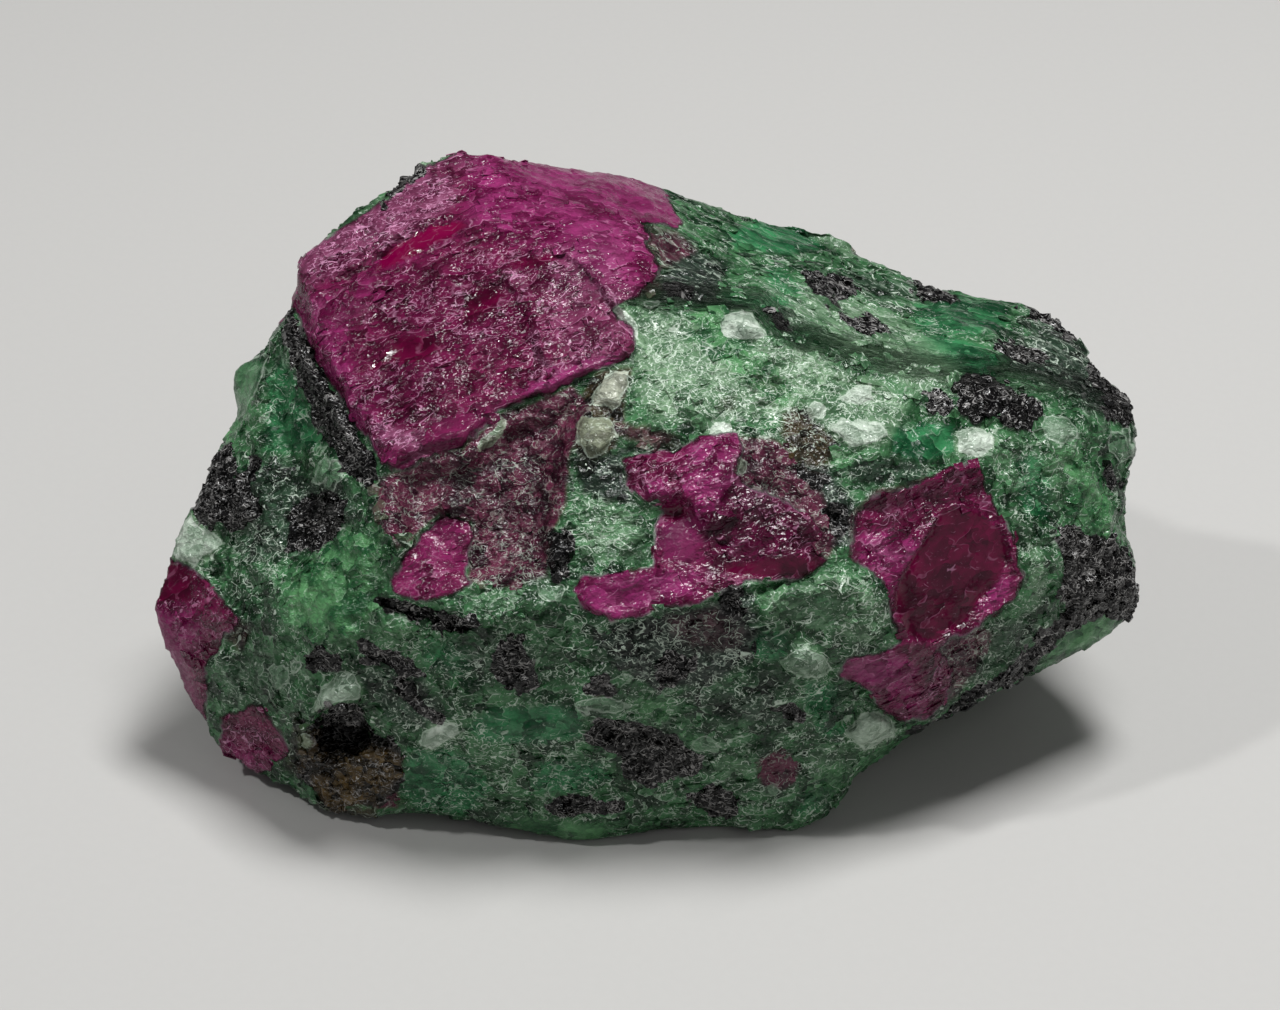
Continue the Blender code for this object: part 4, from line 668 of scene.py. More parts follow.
# The tints that come and go over the other sides by themselves: the size of their patches and their strength.
FAR_PATCHES = (
    ("fresh", 7.0, 0.7), ("dark", 5.0, 0.7), ("pink", 3.0, 1.0), ("mauve", 6.0, 0.5), ("brown", 4.0, 0.4),
)
TINTS = {
    "pale": PALE, "fresh": FRESH_GREEN, "emerald": EMERALD, "mauve": MAUVE, "brown": BROWN, "dark": DARK,
    "pink": PINK, "waxy": WAXY, "glitter": GLITTER, "shingled": SHINGLED,
}


# ------------------------------------------------------------------ reading the drawings

def eased(value, low, high):
    """0 below low, 1 above high, and a smooth step between."""
    share = np.clip((value - low) / (high - low), 0.0, 1.0)
    return share * share * (3.0 - 2.0 * share)


def drawn(points):
    """Where each place is seen on the drawing plane: (across, up)."""
    offset = points - np.array(DRAWING_CENTRE)
    out = offset @ np.array(OUT)
    plane = np.stack([offset @ np.array(ACROSS), offset @ np.array(UP)], axis=1)
    return plane * (SIGHT_DISTANCE / (SIGHT_DISTANCE - out))[:, None]


def depth_inside(places, outline):
    """How deep each drawn place lies inside an outline, less than 0 outside it."""
    start = np.array(outline)
    end = np.roll(start, -1, axis=0)
    edge = end - start
    offset = places[:, None] - start
    along = np.clip((offset * edge).sum(2) / (edge**2).sum(1), 0.0, 1.0)
    gap = np.linalg.norm(offset - along[..., None] * edge, axis=2).min(1)
    x, y = places[:, :1], places[:, 1:]
    spans = (start[:, 1] > y) != (end[:, 1] > y)
    slope = edge[:, 0] / np.where(edge[:, 1] == 0.0, 1.0, edge[:, 1])
    crossed = spans & (x < start[:, 0] + (y - start[:, 1]) * slope)
    return np.where(crossed.sum(1) % 2 == 1, gap, -gap)


def outline_depth(places, outline):
    """The same, worked out only near the outline and cut off at its reach."""
    corners = np.array(outline)
    near = np.all((places > corners.min(0) - BORDER_REACH) & (places < corners.max(0) + BORDER_REACH), axis=1)
    depth = np.full(len(places), -BORDER_REACH)
    if near.any():
        depth[near] = np.maximum(depth_inside(places[near], corners), -BORDER_REACH)
    return depth


def crystal_depth(points, middle, halves, turn):
    """How deep each place lies inside a lump of crystal with that middle and those half lengths."""
    offset = points - np.array(middle)
    angle = math.radians(turn)
    ahead = offset[:, 0] * math.cos(angle) + offset[:, 2] * math.sin(angle)
    above = offset[:, 2] * math.cos(angle) - offset[:, 0] * math.sin(angle)
    local = np.stack([ahead, offset[:, 1], above], axis=1) / np.array(halves)
    # a rounded block rather than an egg
    reach = (np.abs(local) ** 3).sum(1) ** (1.0 / 3.0)
    return np.clip((1.0 - reach) * min(halves), -BORDER_REACH, BORDER_REACH)


def noise_at(points, size, seed):
    """Smooth noise from -1 to 1 with features of that size."""
    shift = Vector((17.3 * seed + 0.37, 5.9 * seed + 0.71, 11.1 * seed + 0.13))
    return np.array([noise.noise(Vector(row) + shift) for row in (points / size).tolist()])


def hashed(cells, seed):
    """Six even random numbers for each whole-numbered cell."""
    cells = cells.astype(np.uint64)
    key = np.uint64(0)
    for axis, prime in enumerate((73856093, 19349663, 83492791)):
        key = key ^ cells[:, axis] * np.uint64(prime)
    key = (key ^ np.uint64(seed * 7919 + 101)) & np.uint64(0xFFFFFFFF)
    numbers = []
    for turn in range(6):
        key = ((key ^ (key >> np.uint64(15))) * np.uint64(739982445 + 2 * turn)) & np.uint64(0xFFFFFFFF)
        key = ((key ^ (key >> np.uint64(12))) * np.uint64(695872825)) & np.uint64(0xFFFFFFFF)
        numbers.append(((key >> np.uint64(8)) & np.uint64(0xFFFF)).astype(float) / 65535.0)
    return np.stack(numbers, axis=1)


def crystal_cells(places, seed):
    """For the crystal each place lies in: the way from its middle, the room to the next one, its numbers."""
    home = np.floor(places).astype(np.int64)
    nearest = np.full(len(places), 9.0)
    second = nearest.copy()
    way = np.zeros_like(places)
    luck = np.zeros((len(places), 6))
    steps = (-1, 0, 1)
    for step in [(i, j, k) for i in steps for j in steps for k in steps]:
        cell = home + np.array(step)
        numbers = hashed(cell + 4096, seed)
        offset = places - (cell + 0.1 + 0.8 * numbers[:, :3])
        distance = np.linalg.norm(offset, axis=1)
        nearer = distance < nearest
        second = np.where(nearer, nearest, np.minimum(second, distance))
        nearest = np.where(nearer, distance, nearest)
        way = np.where(nearer[:, None], offset, way)
        luck = np.where(nearer[:, None], numbers, luck)
    return way, second - nearest, luck


def step_rise(places, height, fade, run):
    """How far the break stands up on the left side of a line, less away from it and towards its ends."""
    corners = np.array(run)
    reach = 4.0 * fade
    near = np.all((places > corners.min(0) - reach) & (places < corners.max(0) + reach), axis=1)
    rise = np.zeros(len(places))
    if not near.any():
        return rise
    start, edge = corners[:-1], corners[1:] - corners[:-1]
    length = np.linalg.norm(edge, axis=1)
    offset = places[near][:, None] - start
    share = np.clip((offset * edge).sum(2) / length**2, 0.0, 1.0)
    gaps = np.linalg.norm(offset - share[..., None] * edge, axis=2)
    closest = gaps.argmin(1)
    rows = np.arange(len(closest))
    side = np.sign(edge[closest, 0] * offset[rows, closest, 1] - edge[closest, 1] * offset[rows, closest, 0])
    passed = np.append(0.0, np.cumsum(length))[closest] + share[rows, closest] * length[closest]
    along = passed / length.sum()
    ends = eased(along, 0.0, 0.15) * eased(1.0 - along, 0.0, 0.15)
    gap = gaps[rows, closest]
    rise[near] = height * ends * eased(side * gap, -0.06, 0.14) * np.exp(-gap / fade)
    return rise


# ------------------------------------------------------------------ the minerals

def merged_solid():
    """A closed copy of the frame's stone, in metres."""
    shape = bmesh.new()
    shape.from_mesh(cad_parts[STONE].data)
    bmesh.ops.remove_doubles(shape, verts=shape.verts, dist=1e-7)
    return shape


def sight_depths(points):
    """How far each place lies behind the first surface on its line of sight, in millimetres."""
    solid = merged_solid()
    tree = BVHTree.FromBMesh(solid)
    solid.free()
    eye = EYE * MM
    depths = np.zeros(len(points))
    for index, row in enumerate(points.tolist()):
        sight = Vector(row) * MM - eye
        length = sight.length
        hit = tree.ray_cast(eye, sight / length)
        if hit[0] is not None:
            depths[index] = max(0.0, (length - hit[3]) / MM)
    return depths


def border_wander(points):
    """How far the borders stray from the drawing at each place."""
    wander = np.zeros((len(points), 2))
    for seed, (size, reach) in enumerate(BORDER_WANDER):
        wander[:, 0] += reach * noise_at(points, size, 2 * seed + 1)
        wander[:, 1] += reach * noise_at(points, size, 2 * seed + 2)
    return wander


def break_relief(points):
    """The steps and hollows of the break on the show side."""
    places = drawn(points) + border_wander(points)
    relief = np.zeros(len(points))
    for height, fade, run in STEPS:
        relief += step_rise(places, height, fade, run)
    for depth, wall, outline in HOLLOWS:
        relief -= depth * eased(outline_depth(places, outline), 0.0, wall)
    return relief * (1.0 - eased(sight_depths(points), *STEP_ROOT))


def minerals_at(points):
    """The minerals at each place, in millimetres inside their borders, and the strength of each tint."""
    depths, wander = sight_depths(points), border_wander(points)
    places = drawn(points) + wander
    ragged = np.append(wander, wander[:, :1], axis=1) * FAR_STRAY
    hidden = eased(depths, *FAR_SIDE)
    minerals = {}
    for name, outlines, lumps in (
        ("ruby", RUBY, FAR_RUBY),
        ("hornblende", HORNBLENDE, FAR_HORNBLENDE),
        ("glassy", GLASSY, []),
        ("grain", GRAINS, FAR_GRAINS),
    ):
        shown = np.max([outline_depth(places, outline) for outline in outlines], axis=0)
        if name in RAGGED:
            shown += RAGGED[name] * (noise_at(points, 1.1, 91) + 0.6 * noise_at(points, 0.45, 92))
        shown = np.minimum(shown, ROOTS[name] - depths + ROOT_STRAY * wander[:, 0])
        far = np.full(len(points), -BORDER_REACH)
        for middle, halves, turn in lumps:
            far = np.maximum(far, crystal_depth(points + ragged, middle, halves, turn))
        far = np.minimum(far, depths - FAR_SIDE[0])
        minerals[name] = np.clip(np.maximum(shown, far), -BORDER_REACH, BORDER_REACH)
    root = 1.0 - eased(depths, *TINT_ROOT)
    for name, stretches in TINTS.items():
        tinted = np.zeros(len(points))
        for strength, edge, outline in stretches:
            share = eased(outline_depth(places, outline), -0.5 * edge, 0.5 * edge)
            tinted = np.maximum(tinted, strength * share)
        minerals[name] = tinted * root
    for name, lumps in (("pale", FAR_PALE), ("emerald", FAR_GREEN)):
        far = np.zeros(len(points))
        for middle, halves, turn in lumps:
            far = np.maximum(far, eased(crystal_depth(points + ragged, middle, halves, turn), -0.4, 0.6))
        minerals[name] = np.maximum(minerals[name], 0.8 * far * hidden)
    for seed, (name, size, strength) in enumerate(FAR_PATCHES):
        patchy = strength * eased(noise_at(points, size, 20 + seed), 0.05, 0.5)
        minerals[name] = np.maximum(minerals[name], patchy * hidden)
    return minerals


def set_attribute(mesh, name, values):
    """A number for each vertex, which the materials read by its name."""
    layer = mesh.attributes.new(name, "FLOAT", "POINT")
    layer.data.foreach_set("value", np.ascontiguousarray(values, dtype=np.float32))


def vertex_places(mesh):
    """The vertices in millimetres, one row each."""
    places = np.zeros(len(mesh.vertices) * 3, dtype=np.float32)
    mesh.vertices.foreach_get("co", places)
    return places.reshape(-1, 3).astype(float) / MM


def vertex_normals(mesh):
    """The outward direction at each vertex."""
    normals = np.zeros(len(mesh.vertices) * 3, dtype=np.float32)
    mesh.vertex_normals.foreach_get("vector", normals)
    return normals.reshape(-1, 3).astype(float)


def place_vertices(mesh, places):
    """Moves the vertices to these places, kept inside the solid's box."""
    low, high = (np.array(corner) / MM for corner in SOLID_BOX)
    places = np.clip(places, low, high)
    mesh.vertices.foreach_set("co", np.ascontiguousarray(places * MM, dtype=np.float32).ravel())
    mesh.update()


def modified(thing):
    """Applies every modifier on an object to its mesh."""
    graph = bpy.context.evaluated_depsgraph_get()
    mesh = bpy.data.meshes.new_from_object(thing.evaluated_get(graph))
    old = thing.data
    thing.modifiers.clear()
    thing.data = mesh
    bpy.data.meshes.remove(old)
    mesh.name = thing.name
    return mesh


def shown_piece(name, shape):
    """A bmesh made into an object in the scene."""
    mesh = bpy.data.meshes.new(name)
    shape.to_mesh(mesh)
    shape.free()
    thing = bpy.data.objects.new(name, mesh)
    bpy.context.scene.collection.objects.link(thing)
    return thing


# The breaks of each mineral from broad to fine: their size and height in millimetres, and their seed.
RUBY_BREAKS = ((4.6, 0.17, 40), (1.3, 0.075, 41), (0.6, 0.045, 42))
ZOISITE_BREAKS = ((3.2, 0.2, 50), (1.2, 0.17, 51), (0.58, 0.085, 52))
HORNBLENDE_CRYSTAL = (0.8, 0.8, 1.05)
# How far ruby and clear grains stand up, and hornblende sinks, and the seam round ruby, in millimetres.
RUBY_STANDS = 0.05
GRAIN_STANDS = 0.14
HORNBLENDE_SINKS = 0.02
SEAM_DEPTH = 0.05
SEAM_WIDTH = 0.16
# The way the ruby's scales lie, in the drawing plane.
SCALE_RUN = (0.94 * ACROSS + 0.34 * UP).normalized()
SCALE_OVER = (0.94 * UP - 0.34 * ACROSS).normalized()
# The way the shingles run down the slope.
SHINGLE_RUN = (0.91 * ACROSS - 0.41 * UP).normalized()


def ruby_relief(points):
    """Broad flat breaks with small overlapping scales, long in one direction and stepped across it."""
    axes = np.array([SCALE_RUN, SCALE_OVER, OUT]).T
    warp = noise_at(points, 5.0, 31)[:, None] * 0.9
    relief = np.zeros(len(points))
    for size, height, seed in RUBY_BREAKS:
        local = (points + warp) @ axes / np.array([size * 1.2, size * 0.85, size])
        way, room, luck = crystal_cells(local, seed)
        lean = (luck[:, 3:6] - 0.5) * (0.6, 0.8, 0.6) + (0.0, 0.6, 0.0)
        relief += height * ((way * lean).sum(1) - 0.3 * (1.0 - eased(room, 0.0, 0.12)))
        relief += 0.35 * height * (luck[:, 3] - 0.5)
    return relief


def zoisite_relief(points, shingled):
    """Interlocked grains, each broken along its own plane, and drawn out where they are shingled."""
    relief = np.zeros(len(points))
    shade = np.zeros(len(points))
    run = points @ np.array(SHINGLE_RUN)
    drawn_out = points - (0.55 * shingled * run)[:, None] * np.array(SHINGLE_RUN)
    for size, height, seed in ZOISITE_BREAKS:
        way, room, luck = crystal_cells(drawn_out / size, seed)
        lean = 2.0 * (luck[:, 3:6] - 0.5)
        relief += height * ((way * lean).sum(1) - 0.2 * (1.0 - eased(room, 0.0, 0.14)))
        relief += 0.25 * height * (luck[:, 0] - 0.5)
        shade += luck[:, 1] / len(ZOISITE_BREAKS)
    return relief, shade


def hornblende_relief(points):
    """Stubby crystals packed side by side."""
    way, room, luck = crystal_cells(points / np.array(HORNBLENDE_CRYSTAL), 61)
    lean = 1.4 * (luck[:, 3:6] - 0.5)
    dome = 0.3 * (0.5 - (way**2).sum(1)) + 0.24 * (way * lean).sum(1)
    return 0.8 * (dome - 0.16 * (1.0 - eased(room, 0.0, 0.16)) + 0.16 * (luck[:, 0] - 0.5))


def skin_relief(points, minerals):
    """How far the skin stands off the solid: each mineral's own breaks, and the steps of the whole stone."""
    relief = zoisite_relief(points, minerals["shingled"])[0]
    relief *= 1.0 - 0.6 * eased(minerals["grain"], -0.1, 0.1)
    is_ruby = eased(minerals["ruby"], -0.12, 0.12)
    is_black = eased(minerals["hornblende"], -0.12, 0.12)
    clear = is_ruby * eased(minerals["glassy"], -0.3, 0.5)
    ruby = ruby_relief(points) * (1.0 - 0.75 * clear)
    relief = relief * (1.0 - is_ruby) + (ruby + RUBY_STANDS) * is_ruby
    relief *= 1.0 - 0.6 * minerals["waxy"]
    relief = relief * (1.0 - is_black) + (hornblende_relief(points) - HORNBLENDE_SINKS) * is_black
    relief += GRAIN_STANDS * eased(minerals["grain"], -0.1, 0.5) + break_relief(points)
    # a seam round every crystal of ruby
    return relief - SEAM_DEPTH * np.exp(-(minerals["ruby"] / SEAM_WIDTH) ** 2)


# ------------------------------------------------------------------ crystals standing in the skin

# How many breaks trim each kind of crystal, and how many different ones of a kind there are.
CRYSTAL_BREAKS = {"prism": 3, "block": 7, "plate": 4}
CRYSTALS_OF_A_KIND = 8
# What every vertex carries for the finish.
FIELDS = ("ruby", "hornblende", "glassy", "grain", "luck", *TINTS)
# No crystal stands lower than this, in millimetres, so that the stone keeps its flat foot.
FOOT = 0.6


def small_crystal(kind, seed):
    """One crystal about 1 across, trimmed by random breaks: its mesh and its corners."""
    chance = np.random.RandomState(seed)
    shape = bmesh.new()
    if kind == "prism":
        bmesh.ops.create_cone(shape, cap_ends=True, segments=6, radius1=0.5, radius2=0.44, depth=1.0)
    else:
        bmesh.ops.create_cube(shape, size=1.0)
    for _ in range(CRYSTAL_BREAKS[kind]):
        facing = Vector(chance.normal(size=3))
        if kind == "plate":
            facing.z *= 0.35
        facing.normalize()
        whole = shape.verts[:] + shape.edges[:] + shape.faces[:]
        cut = bmesh.ops.bisect_plane(
            shape, geom=whole, plane_co=facing * chance.uniform(0.34, 0.5), plane_no=facing, clear_outer=True
        )
        rim = [item for item in cut["geom_cut"] if isinstance(item, bmesh.types.BMEdge)]
        bmesh.ops.holes_fill(shape, edges=rim)
    bmesh.ops.dissolve_degenerate(shape, dist=0.02, edges=shape.edges)
    bmesh.ops.triangulate(shape, faces=shape.faces)
    bmesh.ops.recalc_face_normals(shape, faces=shape.faces)
    mesh = bpy.data.meshes.new(f"crystal_{kind}_{seed}")
    shape.to_mesh(mesh)
    shape.free()
    return mesh, vertex_places(mesh) * MM


def skin_fields(mesh):
    """Every attribute of the skin as an array."""
    fields = {}
    for name in FIELDS:
        values = np.zeros(len(mesh.vertices), dtype=np.float32)
        mesh.attributes[name].data.foreach_get("value", values)
        fields[name] = values.astype(float)
    return fields


def skin_spots(mesh, count, chance):
    """Random spots spread evenly over the skin: the vertex, the place and the outward direction of each."""
    mesh.calc_loop_triangles()
    corners = np.zeros(len(mesh.loop_triangles) * 3, dtype=np.int32)
    areas = np.zeros(len(mesh.loop_triangles), dtype=np.float32)
    mesh.loop_triangles.foreach_get("vertices", corners)
    mesh.loop_triangles.foreach_get("area", areas)
    corners = corners.reshape(-1, 3)
    ladder = np.cumsum(areas.astype(float))
    rows = np.searchsorted(ladder, chance.uniform(0.0, ladder[-1], count))
    shares = chance.dirichlet((1.0, 1.0, 1.0), count)
    points = vertex_places(mesh)[corners[rows]]
    normals = vertex_normals(mesh)[corners[rows]].mean(1)
    return corners[rows, 0], (points * shares[..., None]).sum(1), unit(normals)


def unit(rows):
    """Each row scaled to length 1."""
    return rows / np.maximum(np.linalg.norm(rows, axis=-1, keepdims=True), 1e-9)


def joined_crystals(name, kind, spots, sizes, turns, sink, fields, chance):
    """One mesh of many crystals, each at its spot, sized along its axes, sunk by a share of its height."""
    fields["luck"] = chance.uniform(0.0, 1.0, len(fields["luck"]))
    library = [small_crystal(kind, seed) for seed in range(CRYSTALS_OF_A_KIND)]
    vertices, places, normals = spots
    low, high = (np.array(corner) / MM for corner in SOLID_BOX)
    joined = bmesh.new()
    owners = []
    picks = chance.randint(0, len(library), len(places))
    for index, pick in enumerate(picks.tolist()):
        mesh, corners = library[pick]
        middle = places[index] - normals[index] * sink * sizes[index, 2]
        moved = (corners * sizes[index]) @ turns[index].T + middle
        if (moved < low).any() or (moved > high).any():
            continue
        mesh.vertices.foreach_set("co", np.ascontiguousarray(moved * MM, dtype=np.float32).ravel())
        joined.from_mesh(mesh)
        owners.extend([index] * len(corners))
    for mesh, _ in library:
        bpy.data.meshes.remove(mesh)
    piece = shown_piece(name, joined)
    owners = np.array(owners)
    for field, values in fields.items():
        set_attribute(piece.data, field, values[vertices][owners])
    piece.data.materials.append(stone_finish(bpy.context.scene.stone_colours))
    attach(piece, "root")
    return piece


def crystals_begun(seed, tried):
    """What each kind of crystal starts from: its chance, the skin's fields, and the spots that are tried."""
    chance = np.random.RandomState(seed)
    skin = bpy.data.objects["stone_skin"].data
    return chance, skin_fields(skin), skin_spots(skin, tried, chance)


def kept_spots(spots, keep):
    """The spots above the foot that are kept, and how many they are."""
    keep = keep & (spots[1][:, 2] > FOOT)
    return tuple(rows[keep] for rows in spots), int(keep.sum())


def random_sizes(longest, power, count, chance):
    """Random sizes up to the longest one, in millimetres, more of them small where the power is higher."""
    return chance.uniform(0.4, 1.0, count) ** power * longest / MM


def upright_turns(normals, lean, spread, chance):
    """Axes for each crystal: the third one near its normal, leaned and loosened."""
    up = unit(normals + np.array(lean) + spread * chance.normal(size=normals.shape))
    run = np.array(SCALE_RUN) + spread * chance.normal(size=normals.shape)
    first = unit(run - up * (run * up).sum(1)[:, None])
    return np.stack([first, np.cross(up, first), up], axis=2)


# ------------------------------------------------------------------ finishes

class Wiring:
    """Adds nodes to one tree and joins them up."""

    def __init__(self, tree):
        self.tree = tree

    def node(self, kind, inputs=None, **settings):
        node = self.tree.nodes.new(kind)
        for name, value in settings.items():
            setattr(node, name, value)
        for name, value in (inputs or {}).items():
            if isinstance(value, bpy.types.NodeSocket):
                self.tree.links.new(value, node.inputs[name])
            else:
                node.inputs[name].default_value = value
        return node

    def group(self, name, inputs):
        node = self.tree.nodes.new("ShaderNodeGroup")
        node.node_tree = bpy.data.node_groups[name]
        for socket, value in inputs.items():
            if isinstance(value, bpy.types.NodeSocket):
                self.tree.links.new(value, node.inputs[socket])
            else:
                node.inputs[socket].default_value = value
        return node.outputs

    def sum(self, operation, *values, clamp=False):
        inputs = dict(enumerate(values))
        return self.node("ShaderNodeMath", inputs, operation=operation, use_clamp=clamp).outputs[0]

    def total(self, start, *shares, clamp=False):
        """The start with each value added, times its share."""
        for index, (value, share) in enumerate(shares):
            last = index == len(shares) - 1
            start = self.sum("MULTIPLY_ADD", value, share, start, clamp=clamp and last)
        return start

    def product(self, first, *others, clamp=False):
        """The values multiplied together."""
        for index, value in enumerate(others):
            first = self.sum("MULTIPLY", first, value, clamp=clamp and index == len(others) - 1)
        return first

    def most(self, first, *others, clamp=False):
        """The greatest of the values."""
        for index, value in enumerate(others):
            first = self.sum("MAXIMUM", first, value, clamp=clamp and index == len(others) - 1)
        return first

    def way(self, operation, *values, output=0):
        inputs = dict(enumerate(values))
        if operation == "SCALE":
            inputs = {0: values[0], "Scale": values[1]}
        return self.node("ShaderNodeVectorMath", inputs, operation=operation).outputs[output]

    def step(self, value, low, high, start=0.0, end=1.0):
        """Start below low, end above high, and a smooth step between."""
        inputs = {"Value": value, "From Min": low, "From Max": high, "To Min": start, "To Max": end}
        return self.node("ShaderNodeMapRange", inputs, interpolation_type="SMOOTHSTEP").outputs[0]

    def blend(self, share, first, other, kind="MIX"):
        inputs = {0: share, 6: first, 7: other}
        return self.node("ShaderNodeMix", inputs, data_type="RGBA", blend_type=kind).outputs[2]

    def mixed(self, share, first, other):
        return self.node("ShaderNodeMix", {0: share, 2: first, 3: other}, data_type="FLOAT").outputs[0]

    def mixed_way(self, share, first, other):
        return self.node("ShaderNodeMix", {0: share, 4: first, 5: other}, data_type="VECTOR").outputs[1]

    def noise(self, places, size, detail=2.0, rough=0.5, output=0):
        inputs = {"Vector": places, "Scale": 1.0 / size, "Detail": detail, "Roughness": rough}
        return self.node("ShaderNodeTexNoise", inputs, noise_dimensions="3D").outputs[output]

    def channels(self, colour):
        return self.node("ShaderNodeSeparateColor", {0: colour}).outputs


def new_group(name, inputs, outputs):
    """An empty shader group with those sockets, and what puts nodes into it."""
    tree = bpy.data.node_groups.new(name, "ShaderNodeTree")
    kinds = {"value": "NodeSocketFloat", "colour": "NodeSocketColor", "way": "NodeSocketVector"}
    for names, side in ((inputs, "INPUT"), (outputs, "OUTPUT")):
        for socket, kind in names:
            tree.interface.new_socket(name=socket, in_out=side, socket_type=kinds[kind])
    wires = Wiring(tree)
    return tree, wires, wires.node("NodeGroupInput").outputs, wires.node("NodeGroupOutput").inputs


def mineral_group(name, inputs):
    """An empty shader group that makes one mineral's colour out of plain values."""
    return new_group(name, [(value, "value") for value in inputs], [("Colour", "colour")])


def broken_grains_group():
    """Small grains, each broken along its own plane: its height, its upper rim (a pale edge painted bright as
    a highlight), luck and painted glint.
    """
    tree, w, given, out = new_group(
        "Broken grains", [("Places", "way"), ("Curl", "value"), ("Width", "value")],
        [("Rise", "value"), ("Crest", "value"), ("Luck", "value"), ("Spark", "value")],
    )
    half = (0.5, 0.5, 0.5)
    bend = w.noise(given["Places"], 0.75, 1.0, output=1)
    curl = w.way("SCALE", w.way("SUBTRACT", bend, half), given["Curl"])
    places = w.way("ADD", given["Places"], curl)
    grain = w.node("ShaderNodeTexVoronoi", {"Vector": places, "Scale": 1.0}, feature="F1").outputs
    own = w.way("SCALE", w.way("SUBTRACT", grain["Color"], half), 1.8)
    lean = w.way("NORMALIZE", w.way("ADD", own, (-0.1, -0.35, 0.75)))
    rise = w.way("DOT_PRODUCT", w.way("SUBTRACT", places, grain["Position"]), lean, output=1)
    edge = w.node("ShaderNodeTexVoronoi", {"Vector": places, "Scale": 1.0}, feature="DISTANCE_TO_EDGE")
    line = w.step(edge.outputs["Distance"], w.sum("MULTIPLY", given["Width"], 0.25), given["Width"], 1.0, 0.0)
    # the upper rims, pale broken edges with painted highlight, fade out here and there, where the bend is
    # small
    crest_highlight = w.product(line, w.step(rise, 0.02, 0.26), w.step(w.channels(bend)[0], 0.4, 0.56))
    chances = w.channels(grain["Color"])
    # painted glints: small bright dots in the middles of a few grains
    painted_glint = w.product(w.step(grain["Distance"], 0.1, 0.26, 1.0, 0.0), w.step(chances[1], 0.72, 0.86))
    for name, value in (("Rise", rise), ("Crest", crest_highlight), ("Luck", chances[2]), ("Spark", painted_glint)):
        w.tree.links.new(value, out[name])
    return tree


def curls_group():
    """Thin short curls of broken edges, pale lines painted bright as highlights: where they run, and the
    ridges that they top.
    """
    tree, w, given, out = new_group(
        "Curls", [("Places", "way"), ("Density", "value"), ("Width", "value")],
        [("Curl", "value"), ("Ridge", "value")],
    )
    swirl = w.channels(w.noise(given["Places"], 1.0, 1.0, 0.5, output=1))
    cut = w.channels(w.noise(given["Places"], 0.55, 0.0, 0.5, output=1))
    start = w.total(0.66, (given["Density"], -0.15))
    curls, ridges = [], []
    for run, gate in ((swirl[0], cut[0]), (swirl[1], cut[1])):
        gate = w.total(0.0, (gate, 0.7), (swirl[2], 0.3))
        off = w.sum("ABSOLUTE", w.sum("SUBTRACT", run, 0.5))
        thin = w.step(off, w.sum("MULTIPLY", given["Width"], 0.3), given["Width"], 1.0, 0.0)
        curls.append(w.product(thin, w.step(gate, start, w.sum("ADD", start, 0.04))))
        ridges.append(w.step(off, 0.0, 0.12, 1.0, 0.0))
    w.tree.links.new(w.most(*curls), out["Curl"])
    w.tree.links.new(w.most(*ridges), out["Ridge"])
    return tree


ZOISITE_TINTS = ["Emerald", "Dark", "Pale", "Fresh", "Brown", "Mauve"]
RUBY_TINTS = ["Pink", "Pale", "Dark", "Waxy"]


def zoisite_group(colours):
    """Green zoisite: grains of several greens, frosted along their broken rims, where highlights are painted
    too.
    """
    inputs = ["Tone", "Rim", "Ragged", "Clear grain", *ZOISITE_TINTS]
    tree, w, given, out = mineral_group("Zoisite", inputs)
    colour = toned(w, given["Tone"], colours, "green")
    for name in ZOISITE_TINTS:
        there = w.step(w.sum("ADD", given[name], given["Ragged"]), 0.1, 0.8)
        there = w.product(there, w.step(given[name], 0.0, 0.15))
        colour = w.blend(there, colour, toned(w, given["Tone"], colours, name.lower()))
    clear = w.blend(w.step(given["Pale"], 0.3, 0.9), opaque(colours.clear_green), opaque(colours.clear_white))
    clear = w.blend(w.product(given["Brown"], 0.7), clear, opaque(colours.clear_khaki))
    strong = w.total(given["Tone"], (given["Pale"], 0.3), (given["Brown"], 0.3))
    share = w.product(given["Clear grain"], w.total(0.05, (strong, 0.7)), clamp=True)
    colour = w.blend(share, colour, clear)
    frost_and_highlight_share = w.total(0.8, (given["Pale"], 0.1), (w.most(given["Mauve"], given["Fresh"]), -0.45))
    frost_and_highlight_share = w.product(given["Rim"], frost_and_highlight_share, clamp=True)
    w.tree.links.new(w.blend(frost_and_highlight_share, colour, opaque(colours.frost_and_highlight)), out["Colour"])
    return tree


def ruby_group(colours):
    """Ruby: dull pink where it is bruised and deep red where it is clear."""
    inputs = ["Tone", "Rim", "Glassy", *RUBY_TINTS]
    tree, w, given, out = mineral_group("Ruby", inputs)
    colour = toned(w, given["Tone"], colours, "ruby")
    for tinted, name, share in (("Pink", "pink", 0.8), ("Dark", "deep", 0.8), ("Pale", "bruised", 0.4)):
        colour = w.blend(w.product(given[tinted], share), colour, toned(w, given["Tone"], colours, name))
    colour = w.blend(w.product(given["Waxy"], 0.5), colour, opaque(colours.waxy))
    # where clear ruby is pink, a glow is painted in, as if lit from behind
    clear = w.blend(given["Pink"], toned(w, given["Tone"], colours, "glassy"), opaque(colours.painted_backlight))
    colour = w.blend(given["Glassy"], colour, clear)
    # the rims: pale frost and painted highlights
    frost_and_highlight_share = w.total(0.6, (given["Pale"], 0.3), (given["Glassy"], -0.3))
    frost_and_highlight_share = w.product(given["Rim"], frost_and_highlight_share, clamp=True)
    w.tree.links.new(w.blend(frost_and_highlight_share, colour, opaque(colours.ruby_frost_and_highlight)), out["Colour"])
    return tree


